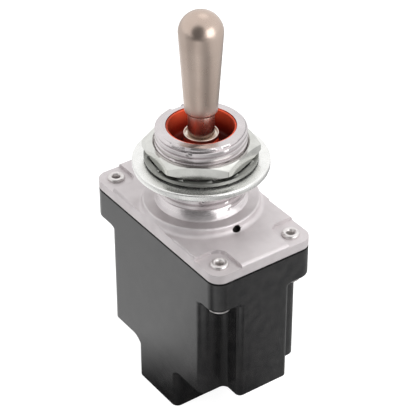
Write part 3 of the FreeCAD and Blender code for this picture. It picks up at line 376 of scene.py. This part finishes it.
HOLE = Vector((7.85, 0, -0.85)) * MM
HOLE_RADIUS = 0.41 * MM
HOLE_DEPTH = 1.8 * MM
HOLE_TILT = math.radians(45)
OVAL = 1.4
PLUG = Vector((8.25, 0, -1.75)) * MM
PLUG_RADIUS = 0.68 * MM
PLUG_DEPTH = 1.1 * MM
THREAD_PITCH = 25.4 / 32 * MM
THREAD_OUTER = 5.95 * MM
THREAD_DEPTH = 0.27 * MM
THREAD_START = 0.95 * MM
THREAD_TURNS = 14
THREAD_FLANK = math.tan(math.radians(30))
BUSHING_FOOT = 0.1 * MM
casting = finish("plated_casting", (0.67, 0.63, 0.637), 0.42, 0.82)
unshaded_tone = tint(casting, speckle(casting, 420), (0.64, 0.6, 0.607), (0.7, 0.66, 0.667))
by_height(casting, "Roughness", -0.0004, 0.0008, ((0.0, (0.58,) * 3), (1.0, (0.27,) * 3)))
by_height(casting, "Metallic", 0.0006, 0.0016, ((0.0, (0.82,) * 3), (1.0, (1.0,) * 3)))
relief(casting, speckle(casting, 2400, 4.0), 0.000004)
tilted = Vector((math.sin(HOLE_TILT), 0, math.cos(HOLE_TILT)))
# The inside of the askew hole is painted dark, as shade.
painted_hole_shade(casting, unshaded_tone, HOLE, tilted, OVAL, HOLE_RADIUS + 0.01 * MM, 0.05 * MM)
cover = merged_copy("cover_and_bushing", "cover_casting")
# The drawing's round hole is filled, and the oval one is cut in its place.
bpy.ops.mesh.primitive_cylinder_add(vertices=48, radius=PLUG_RADIUS, depth=PLUG_DEPTH, location=PLUG)
carve(cover, bpy.context.object, "UNION")
bpy.ops.mesh.primitive_cylinder_add(
    vertices=48, radius=HOLE_RADIUS, depth=HOLE_DEPTH, location=HOLE, rotation=(0, HOLE_TILT, 0)
)
bpy.ops.transform.resize(value=(1, OVAL, 1))
bpy.ops.object.transform_apply(location=True, rotation=True, scale=True)
carve(cover, bpy.context.object)
root = THREAD_OUTER - THREAD_DEPTH
crest = THREAD_OUTER + 0.05 * MM
half_root = THREAD_PITCH / 16
half_crest = half_root + (crest - root) * THREAD_FLANK
groove = wound(
    "thread_groove",
    [(root, -half_root), (root, half_root), (crest, half_crest), (crest, -half_crest)],
    THREAD_START,
    THREAD_PITCH,
    THREAD_TURNS,
    64,
)
carve(cover, groove)
even(cover, BUSHING_FOOT)
fit(cover, "root", "cover_metal", casting, "cover_and_bushing")


# The lever: turned brass in one piece, with the bat, a thin stem, the ball that it tilts on and
# a hollow lower arm for the plunger. Plated with satin nickel, and crossed by its steel pin.
def arc(centre, radius, begin, end, count):
    """Points (radius, height) on an arc, from one angle to another in degrees."""
    points = []
    for i in range(count + 1):
        angle = math.radians(begin + (end - begin) * i / count)
        points.append((centre[0] + radius * math.cos(angle), centre[1] + radius * math.sin(angle)))
    return points


def turned(name, points, closed=False, steps=96):
    """A piece turned about Z from (radius, height) points in millimetres."""
    piece = drawn_outline(name, [(max(r, 0) * MM, h * MM) for r, h in points], closed)
    bpy.ops.mesh.select_all(action="SELECT")
    bpy.ops.mesh.spin(steps=steps, angle=2 * math.pi, center=(0, 0, 0), axis=(0, 0, 1))
    bpy.ops.mesh.select_all(action="SELECT")
    bpy.ops.mesh.remove_doubles(threshold=1e-7)
    bpy.ops.mesh.normals_make_consistent(inside=False)
    bpy.ops.object.mode_set(mode="OBJECT")
    smooth(piece)
    return piece


PIVOT = 1.8
PIN_BORE = 0.94
ARM_RADIUS = 2.2
ARM_BORE = 1.24
ARM_FOOT = -5.4
ARM_CEILING = 0.3
BALL_RADIUS = 3.6
STEM_RADIUS = 1.75
BAT_FOOT = 12.9
BAT_FOOT_RADIUS = 2.15
TIP_RADIUS = 2.87
TIP_CENTRE = 24.25
nickel = finish("satin_nickel", (0.58, 0.47, 0.405), 0.3, 1.0)
tint(nickel, speckle(nickel, 260), (0.56, 0.45, 0.385), (0.605, 0.495, 0.43))
dull(nickel, speckle(nickel, 900, 4.0, (1, 1, 0.4)), 0.25, 0.33)
relief(nickel, speckle(nickel, 1500, 3.0, (1, 1, 6)), 0.0000002)
arm = [
    (0, ARM_CEILING), (ARM_BORE, ARM_CEILING), (ARM_BORE, ARM_FOOT + 0.1), (ARM_BORE + 0.1, ARM_FOOT),
    (ARM_RADIUS - 0.1, ARM_FOOT), (ARM_RADIUS, ARM_FOOT + 0.1),
]
ball_from = -math.degrees(math.acos(ARM_RADIUS / BALL_RADIUS))
ball_to = math.degrees(math.acos(STEM_RADIUS / BALL_RADIUS))
ball = arc((0, PIVOT), BALL_RADIUS, ball_from, ball_to, 28)
stem = [
    (STEM_RADIUS, 6.0), (STEM_RADIUS, 9.0), (STEM_RADIUS, BAT_FOOT - 0.06), (STEM_RADIUS + 0.06, BAT_FOOT),
]
foot = arc((BAT_FOOT_RADIUS - 0.38, BAT_FOOT + 0.38), 0.38, -85, -4, 6)
taper = [
    (
        BAT_FOOT_RADIUS + (TIP_RADIUS - BAT_FOOT_RADIUS) * k / 5,
        BAT_FOOT + 0.4 + (TIP_CENTRE - BAT_FOOT - 0.4) * k / 5,
    )
    for k in range(1, 5)
]
tip = arc((0, TIP_CENTRE), TIP_RADIUS, 2, 90, 22)
bat = turned("bat_lever", arm + ball + stem + foot + taper + tip, steps=128)
bpy.ops.mesh.primitive_cylinder_add(
    vertices=64,
    radius=PIN_BORE * MM,
    depth=12 * MM,
    location=(0, 0, PIVOT * MM),
    rotation=(math.pi / 2, 0, 0),
)
carve(bat, bpy.context.object)
even(bat)
fit(bat, "lever", "lever_nickel", nickel, "toggle_lever")
cross_pin = crosswise_pin("lever_cross_pin", *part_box("lever_pin"))
fit(cross_pin, "root", "pin_steel", steel, "lever_pin")
retainer = merged_copy("pivot_retainer", "pressed_retainer")
fit(retainer, "root", "pin_steel", steel, "pivot_retainer")


# The spring and plunger: five turns of hard-drawn wire push a moulded nylon plunger out of the
# lever's arm, and its round tip lies in the rocker's cradle.
WIRE = 0.17
COIL_RADIUS = 1.03
COIL_LOW = -2.9
COIL_HIGH = 0.3
COIL_TURNS = 5
PLUNGER_RADIUS = 1.2
PLUNGER_TIP = -6.2
STUB_RADIUS = 0.55
STUB_TOP = -2.2
wire_steel = finish("spring_wire", (0.46, 0.46, 0.47), 0.3, 1.0)
dull(wire_steel, speckle(wire_steel, 4000), 0.22, 0.4)
relief(wire_steel, speckle(wire_steel, 9000, 2.0), 0.000002)
section = [
    (COIL_RADIUS * MM + WIRE * MM * math.cos(k * math.pi / 6), WIRE * MM * math.sin(k * math.pi / 6))
    for k in range(12)
]
coil_pitch = (COIL_HIGH - COIL_LOW - 2 * WIRE) / COIL_TURNS * MM
coil = wound("coil_spring", section, (COIL_LOW + WIRE) * MM, coil_pitch, COIL_TURNS, 40)
smooth(coil)
fit(coil, "lever", "spring_steel", wire_steel, "plunger_spring")
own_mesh(coil)
nylon = finish("natural_nylon", (0.72, 0.69, 0.6), 0.4, Subsurface_Weight=0.15)
nylon_shader = nylon.node_tree.nodes["Principled BSDF"]
nylon_shader.inputs["Subsurface Radius"].default_value = (0.0006, 0.0005, 0.0004)
tint(nylon, speckle(nylon, 900), (0.68, 0.64, 0.54), (0.76, 0.74, 0.66))
relief(nylon, speckle(nylon, 3800), 0.000003)
plunger = turned(
    "nylon_plunger",
    arc((0, PLUNGER_TIP), PLUNGER_RADIUS, -90, 0, 14)
    + [(PLUNGER_RADIUS, COIL_LOW - 0.1), (PLUNGER_RADIUS - 0.1, COIL_LOW), (STUB_RADIUS, COIL_LOW)]
    + [(STUB_RADIUS, STUB_TOP - 0.1), (STUB_RADIUS - 0.1, STUB_TOP), (0, STUB_TOP)],
    steps=64,
)
fit(plunger, "plunger", "plunger_nylon", nylon, "detent_plunger")


# The boot: red silicone rubber, moulded round the stem and pressed into the bushing. Its sleeve
# stays with the bushing, and the cone in the middle is a separate piece round the stem.
SLEEVE_RADIUS = 4.58
SLEEVE_FOOT = 6.8
SLEEVE_TOP = 10.6
SLEEVE_EDGE = 0.16
SLEEVE_BORE = SLEEVE_RADIUS - 2 * SLEEVE_EDGE
FLOOR_RADIUS = 3.2
FLOOR_TOP = 7.55
CONE_BORE = 1.79
CONE_WAIST = 2.25
CONE_RADIUS = 3.4
LIP_TOP = 9.3
LIP_EDGE = 0.15
silicone = finish("red_silicone", (0.55, 0.055, 0.02), 0.5, Specular_IOR_Level=0.25)
# The rubber's colour darkens down into the trough: painted shade in the boot's hollow, with the rubber's
# own red at the top.
by_height(
    silicone,
    "Base Color",
    0.0074,
    0.0104,
    ((0.0, (0.05, 0.003, 0.001)), (0.45, (0.2, 0.012, 0.005)), (1.0, (0.62, 0.075, 0.03))),
)
dull(silicone, speckle(silicone, 1800), 0.42, 0.58)
relief(silicone, speckle(silicone, 3600, 3.0), 0.000005)
sleeve = turned(
    "boot_sleeve",
    [(FLOOR_RADIUS, SLEEVE_FOOT), (SLEEVE_RADIUS - 0.08, SLEEVE_FOOT)]
    + [(SLEEVE_RADIUS, SLEEVE_FOOT + 0.1), (SLEEVE_RADIUS, SLEEVE_TOP)]
    + arc((SLEEVE_RADIUS - SLEEVE_EDGE, SLEEVE_TOP), SLEEVE_EDGE, 0, 180, 8)
    + [(SLEEVE_BORE, FLOOR_TOP + 0.6)]
    + arc((SLEEVE_BORE - 0.5, FLOOR_TOP + 0.5), 0.5, 0, -90, 8)
    + [(FLOOR_RADIUS, FLOOR_TOP)],
    closed=True,
    steps=112,
)
fit(sleeve, "root", "boot_rubber", silicone, "lever_boot")
cone = turned(
    "boot_cone",
    [(CONE_BORE, 7.45), (CONE_WAIST, 6.86), (CONE_RADIUS, 6.84), (CONE_RADIUS, 7.5), (2.95, 7.53)]
    + arc((CONE_WAIST + 0.55, 8.08), 0.55, -90, -180, 8)
    + [(CONE_WAIST, 8.4), (CONE_WAIST, 8.8)]
    + arc((CONE_WAIST - LIP_EDGE, LIP_TOP - LIP_EDGE), LIP_EDGE, 0, 90, 5)
    + [(CONE_BORE, LIP_TOP), (CONE_BORE, 8.8), (CONE_BORE, 8.2)],
    closed=True,
    steps=96,
)
cone.data.materials.clear()
cone.data.materials.append(silicone)
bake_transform(cone)


# The collar: a pale plated ring pressed onto the stem, on top of the boot's lip.
COLLAR_RADIUS = 2.3
COLLAR_RIM = 9.74
RIM_EDGE = 0.11
collar_plate = finish("collar_plate", (0.76, 0.68, 0.6), 0.3, 1.0)
tint(collar_plate, speckle(collar_plate, 1100), (0.72, 0.63, 0.55), (0.8, 0.73, 0.66))
relief(collar_plate, speckle(collar_plate, 3000), 0.000003)
collar = turned(
    "stem_collar",
    [(STEM_RADIUS, LIP_TOP), (COLLAR_RADIUS - 0.06, LIP_TOP), (COLLAR_RADIUS, LIP_TOP + 0.06)]
    + arc((COLLAR_RADIUS - RIM_EDGE, COLLAR_RIM), RIM_EDGE, 0, 180, 8)
    + [(COLLAR_RADIUS - 0.24, LIP_TOP + 0.2), (STEM_RADIUS, LIP_TOP + 0.14)],
    closed=True,
)
fit(collar, "lever", "collar_metal", collar_plate, "seal_collar")


# The rivets: plated tubular rivets. The head lies under the case's flange, and the hollow end is
# rolled over in the cover's sunk corner, which leaves a dark eye in a bright rim.
RIVET_SEAT = -1.7
RIVET_BARREL = 0.85
RIVET_EYE = 0.46
EYE_DEPTH = 2.4
ROLL_RADIUS = 0.33
FLANGE_UNDERSIDE = -7.7
HEAD_RADIUS = 1.46
HEAD_THICKNESS = 0.78
HEAD_EDGE = 0.12
rivet_plate = finish("rivet_plate", (0.72, 0.69, 0.68), 0.32, 0.92)
tint(rivet_plate, speckle(rivet_plate, 1200), (0.66, 0.63, 0.62), (0.78, 0.75, 0.74))
dull(rivet_plate, speckle(rivet_plate, 2600), 0.26, 0.38)
relief(rivet_plate, speckle(rivet_plate, 2800), 0.000005)
head_face = FLANGE_UNDERSIDE - HEAD_THICKNESS
head = [
    (0, head_face), (HEAD_RADIUS - HEAD_EDGE, head_face), (HEAD_RADIUS, head_face + HEAD_EDGE),
    (HEAD_RADIUS, FLANGE_UNDERSIDE),
]
barrel = [(RIVET_BARREL, FLANGE_UNDERSIDE), (RIVET_BARREL, RIVET_SEAT), (1.16, RIVET_SEAT)]
roll = arc((RIVET_BARREL, RIVET_SEAT + 0.12), ROLL_RADIUS, 0, 180, 14)[:-1]
eye = [(RIVET_EYE, RIVET_SEAT), (RIVET_EYE, RIVET_SEAT - EYE_DEPTH), (0, RIVET_SEAT - EYE_DEPTH - 0.22)]
for number in range(1, 5):
    node = f"cover_rivet_{number}"
    low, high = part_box(node)
    rivet = turned(f"tubular_rivet_{number}", head + barrel + roll + eye, steps=56)
    bpy.ops.transform.translate(value=((low.x + high.x) / 2, (low.y + high.y) / 2, 0))
    bpy.ops.object.transform_apply(location=True, rotation=False, scale=False)
    fit(rivet, "root", "rivet_metal", rivet_plate, node)


# The terminal hardware: a slotted screw and a plain washer in each well, nickel plated, tight
# against the terminal as the switch leaves the works.
plating = finish("screw_plating", (0.66, 0.63, 0.58), 0.28, 1.0)
tint(plating, speckle(plating, 900), (0.58, 0.55, 0.5), (0.72, 0.69, 0.64))
dull(plating, speckle(plating, 2400), 0.2, 0.36)
relief(plating, speckle(plating, 4200), 0.000003)
for number in range(1, 4):
    screw = merged_copy(f"terminal_screw_{number}", f"slotted_screw_{number}")
    fit(screw, "root", "screw_plating", plating, f"terminal_screw_{number}")
    washer = merged_copy(f"terminal_washer_{number}", f"plain_washer_{number}")
    fit(washer, "root", "screw_plating", plating, f"terminal_washer_{number}")


# The mounting hardware: keyed ring, internal-tooth lock washer and hex nut, plated steel, spun up
# the thread by hand and left there. The ring is the palest; the washer's dark tone is painted shade.
RING_BORE = 6.05
RING_RADIUS = 8.94
RING_LOW = 5.05
RING_HIGH = 6.0
RING_EDGE = 0.2
KEY_MIDDLE = -5.7
KEY_LENGTH = 0.9
KEY_WIDTH = 1.78
KEY_HEIGHT = 0.94
bright = finish("bright_plating", (0.86, 0.86, 0.84), 0.26, 0.97)
tint(bright, speckle(bright, 700), (0.83, 0.83, 0.81), (0.89, 0.89, 0.87))
dull(bright, speckle(bright, 1600, 4.0), 0.23, 0.31)
relief(bright, speckle(bright, 2400, 3.0), 0.000001)
ring = turned(
    "keyed_ring",
    [(RING_BORE, RING_LOW)]
    + arc((RING_RADIUS - RING_EDGE, RING_LOW + RING_EDGE), RING_EDGE, -90, 0, 4)
    + arc((RING_RADIUS - RING_EDGE, RING_HIGH - RING_EDGE), RING_EDGE, 0, 90, 4)
    + [(RING_BORE, RING_HIGH)],
    closed=True,
    steps=144,
)
bpy.ops.mesh.primitive_cube_add(size=1, location=(KEY_MIDDLE * MM, 0, (RING_LOW + RING_HIGH) / 2 * MM))
key = bpy.context.object
bpy.ops.transform.resize(value=(KEY_LENGTH * MM, KEY_WIDTH * MM, KEY_HEIGHT * MM))
bpy.ops.object.transform_apply(location=True, rotation=True, scale=True)
carve(ring, key, "UNION")
even(ring)
fit(ring, "root", "bright_plating", bright, "locking_ring")
# The lock washer's colour is darkened as painted shade, for where it sits between nut and ring.
washer_plate_painted_shade = finish("washer_plating_painted_shade", (0.36, 0.365, 0.345), 0.42, 1.0)
tint(washer_plate_painted_shade, speckle(washer_plate_painted_shade, 600), (0.33, 0.335, 0.315), (0.39, 0.395, 0.375))
toothed = merged_copy("lock_washer", "toothed_washer")
fit(toothed, "root", "bright_plating", washer_plate_painted_shade, "lock_washer")
dim = finish("dim_plating", (0.67, 0.67, 0.64), 0.15, 1.0)
tint(dim, speckle(dim, 600), (0.63, 0.63, 0.6), (0.71, 0.71, 0.68))
dull(dim, speckle(dim, 1500, 4.0), 0.11, 0.19)
relief(dim, speckle(dim, 2200, 3.0), 0.0000008)
NUT_LOW, NUT_HIGH = (level / MM for level in (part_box("hex_nut")[0].z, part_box("hex_nut")[1].z))
NUT_FLATS = 13.3
NUT_CORNER = NUT_FLATS / math.sqrt(3)
NUT_TURN = math.radians(90 - 8.6)
NUT_BORE = 5.95
NUT_MOUTH = 6.25
NUT_CHAMFER = 0.9
bpy.ops.mesh.primitive_cylinder_add(
    vertices=6,
    radius=NUT_CORNER * MM,
    depth=(NUT_HIGH - NUT_LOW + 1) * MM,
    location=(0, 0, (NUT_LOW + NUT_HIGH) / 2 * MM),
    rotation=(0, 0, NUT_TURN),
)
prism = bpy.context.object
bpy.ops.object.transform_apply(location=True, rotation=True, scale=True)
bevel = prism.modifiers.new("rolled corners", "BEVEL")
bevel.width = 0.1 * MM
bevel.segments = 3
bpy.ops.object.modifier_apply(modifier=bevel.name)
nut = turned(
    "hexagon_nut",
    [
        (NUT_BORE, NUT_LOW + 0.3), (NUT_MOUTH, NUT_LOW), (NUT_CORNER - NUT_CHAMFER, NUT_LOW),
        (NUT_CORNER + 0.1, NUT_LOW + 0.5), (NUT_CORNER + 0.1, NUT_HIGH - 0.5),
        (NUT_CORNER - NUT_CHAMFER, NUT_HIGH), (NUT_MOUTH, NUT_HIGH), (NUT_BORE, NUT_HIGH - 0.3),
    ],
    closed=True,
    steps=144,
)
carve(nut, prism, "INTERSECT")
even(nut)
fit(nut, "root", "bright_plating", dim, "hex_nut")


# The floor: a plain pale sheet that runs far past the picture. To the camera it is white with a
# faint shadow. To gloss it is bright on the left and far to the right, and darker in front and
# close by, where a shadow round the switch is painted into it.
AZIMUTH = math.radians(54.54)
ELEVATION = math.radians(35.13)
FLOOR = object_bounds()[0][2]
RIGHT = Vector((math.cos(AZIMUTH), math.sin(AZIMUTH), 0))
FRONT = Vector((math.sin(AZIMUTH), -math.cos(AZIMUTH), 0))
BACK = FRONT * math.cos(ELEVATION) + Vector((0, 0, math.sin(ELEVATION)))


def falloff(tree, place, direction, begin, end):
    """0 to 1 along a direction, between two distances."""
    along = vector_math(tree.nodes, "DOT_PRODUCT", direction)
    spread = tree.nodes.new("ShaderNodeMapRange")
    spread.interpolation_type = "SMOOTHSTEP"
    spread.inputs["From Min"].default_value = begin
    spread.inputs["From Max"].default_value = end
    tree.links.new(place, along.inputs[0])
    tree.links.new(along.outputs["Value"], spread.inputs["Value"])
    return spread.outputs["Result"]


def combined(tree, operation, first, second):
    """Two values multiplied, or the larger of the two."""
    node = tree.nodes.new("ShaderNodeMath")
    node.operation = operation
    tree.links.new(first, node.inputs[0])
    tree.links.new(second, node.inputs[1])
    return node.outputs["Value"]


def between(tree, value, low, high):
    """Stretch 0 to 1 over two values."""
    node = tree.nodes.new("ShaderNodeMapRange")
    node.inputs["To Min"].default_value = low
    node.inputs["To Max"].default_value = high
    tree.links.new(value, node.inputs["Value"])
    return node.outputs["Result"]


bpy.ops.mesh.primitive_plane_add(size=6, location=(0, 0, FLOOR))
floor = bpy.context.object
floor.name = "pale_floor"
bpy.ops.object.transform_apply(location=True, rotation=True, scale=True)
sheet = bpy.data.materials.new("pale_sheet")
sheet.use_nodes = True
tree = sheet.node_tree
nodes, links = tree.nodes, tree.links
nodes.remove(nodes["Principled BSDF"])

# What gloss sees: a brightness for each place on the floor and each heading from the switch.
place = nodes.new("ShaderNodeTexCoord").outputs["Object"]
flat = vector_math(nodes, "MULTIPLY", (1, 1, 0))
links.new(place, flat.inputs[0])
reach = vector_math(nodes, "LENGTH")
links.new(flat.outputs["Vector"], reach.inputs[0])
unit = vector_math(nodes, "NORMALIZE")
links.new(flat.outputs["Vector"], unit.inputs[0])
heading = unit.outputs["Vector"]
# Painted shadow round the switch: to gloss the floor is dimmer close by.
near = nodes.new("ShaderNodeMapRange")
near.inputs["From Min"].default_value = 0.0083
near.inputs["From Max"].default_value = 0.017
near.inputs["To Min"].default_value = 0.1
links.new(reach.outputs["Value"], near.inputs["Value"])
level = near.outputs["Result"]
for measured, direction, begin, end, before, after in (
    (heading, RIGHT, -0.7, 0.7, 1.12, 0.4),
    (heading, FRONT, 0.6, 1.0, 1.0, 0.95),
    (place, FRONT, 0.12, 0.25, 1.0, 0.3),
    (place, RIGHT, 0.045, 0.075, 1.0, 2.25),
    (place, -RIGHT, 0.042, 0.068, 1.0, 0.7),
):
    share = between(tree, falloff(tree, measured, direction, begin, end), before, after)
    level = combined(tree, "MULTIPLY", level, share)
to_front = falloff(tree, heading, FRONT, 0.0, 0.45)
to_left = falloff(tree, heading, -RIGHT, 0.25, 0.6)
front_left = combined(tree, "MULTIPLY", to_front, to_left)
level = combined(tree, "MULTIPLY", level, between(tree, front_left, 1.0, 0.7))
straight_ahead = falloff(tree, heading, FRONT, 0.45, 0.8)
close = between(tree, falloff(tree, place, FRONT, 0.026, 0.042), 1.0, 0.0)
close_front = combined(tree, "MULTIPLY", straight_ahead, close)
level = combined(tree, "MULTIPLY", level, between(tree, close_front, 1.0, 0.25))
mirrored = nodes.new("ShaderNodeEmission")
links.new(level, mirrored.inputs["Strength"])

# What the camera sees, and what lights the switch from below.
glow = nodes.new("ShaderNodeEmission")
glow.inputs["Strength"].default_value = 0.9
pale = nodes.new("ShaderNodeBsdfDiffuse")
pale.inputs["Color"].default_value = (0.3, 0.3, 0.3, 1)
seen = nodes.new("ShaderNodeAddShader")
links.new(pale.outputs[0], seen.inputs[0])
links.new(glow.outputs[0], seen.inputs[1])
paper = nodes.new("ShaderNodeBsdfDiffuse")
paper.inputs["Color"].default_value = (0.8, 0.8, 0.8, 1)
rays = nodes.new("ShaderNodeLightPath")
glossy_or_not = nodes.new("ShaderNodeMixShader")
links.new(rays.outputs["Is Glossy Ray"], glossy_or_not.inputs[0])
links.new(paper.outputs[0], glossy_or_not.inputs[1])
links.new(mirrored.outputs[0], glossy_or_not.inputs[2])
camera_or_not = nodes.new("ShaderNodeMixShader")
links.new(rays.outputs["Is Camera Ray"], camera_or_not.inputs[0])
links.new(glossy_or_not.outputs[0], camera_or_not.inputs[1])
links.new(seen.outputs[0], camera_or_not.inputs[2])
links.new(camera_or_not.outputs[0], nodes["Material Output"].inputs["Surface"])
floor.data.materials.append(sheet)


# The light: a white world, weaker to matt surfaces. Gloss sees it darker where the camera stands
# and brighter overhead. Three soft lamps: a broad low one at the right front, like a window, a
# key lamp at the upper right and a weaker one at the upper left.
LENS = Vector((0, 0, 0.42)) + 0.88 * FRONT - 0.22 * RIGHT
OVERHEAD = Vector((0, 0, 0.868)) - 0.469 * FRONT + 0.15 * RIGHT
MATT_LEVEL = 0.55
world = bpy.data.worlds.new("white_studio")
bpy.context.scene.world = world
world.use_nodes = True
tree = world.node_tree
nodes, links = tree.nodes, tree.links
background = nodes["Background"]
background.inputs["Color"].default_value = (1, 1, 1, 1)
rays = nodes.new("ShaderNodeLightPath")
sky = nodes.new("ShaderNodeTexCoord").outputs["Generated"]
dark_patch = between(tree, falloff(tree, sky, LENS, 0.74, 0.9), 1.05, 0.18)
bright_patch = between(tree, falloff(tree, sky, OVERHEAD, 0.93, 0.985), 1.0, 1.4)
# In a mix of values, inputs 2 and 3 are the two values and output 0 is the result.
matt_or_gloss = nodes.new("ShaderNodeMix")
matt_or_gloss.inputs[2].default_value = MATT_LEVEL
links.new(rays.outputs["Is Glossy Ray"], matt_or_gloss.inputs[0])
links.new(combined(tree, "MULTIPLY", dark_patch, bright_patch), matt_or_gloss.inputs[3])
straight = combined(tree, "MAXIMUM", rays.outputs["Is Camera Ray"], rays.outputs["Is Transmission Ray"])
white = nodes.new("ShaderNodeMix")
white.inputs[3].default_value = 1.0
links.new(straight, white.inputs[0])
links.new(matt_or_gloss.outputs[0], white.inputs[2])
links.new(white.outputs[0], background.inputs["Strength"])
for name, spot, size, power in (
    ("window", 0.42 * RIGHT + 0.33 * FRONT + Vector((0, 0, 0.14)), 0.42, 0.95),
    ("key", 0.42 * RIGHT + 0.02 * FRONT + Vector((0, 0, 0.46)), 0.25, 4.0),
    ("fill", -0.45 * RIGHT + 0.1 * FRONT + Vector((0, 0, 0.45)), 0.35, 1.2),
):
    bpy.ops.object.light_add(type="AREA", location=spot)
    lamp = bpy.context.object
    lamp.name = name
    lamp.data.size = size
    lamp.data.energy = power
    lamp.rotation_euler = (-spot).to_track_quat("-Z", "Y").to_euler()
    lamp.visible_glossy = name == "window"


# The camera, at the photograph's angle and distance.
DISTANCE = 0.2247
TARGET = Vector((0, 0, -0.001997)) + 0.000811 * RIGHT
bpy.ops.object.camera_add(location=TARGET + DISTANCE * BACK)
camera = bpy.context.object
camera.rotation_euler = (-BACK).to_track_quat("-Z", "Y").to_euler()
camera.data.lens = 148.5
camera.data.sensor_width = 36
camera.data.clip_start = 0.01
camera.data.clip_end = 20
bpy.context.scene.camera = camera
bpy.context.scene.view_settings.view_transform = "Standard"
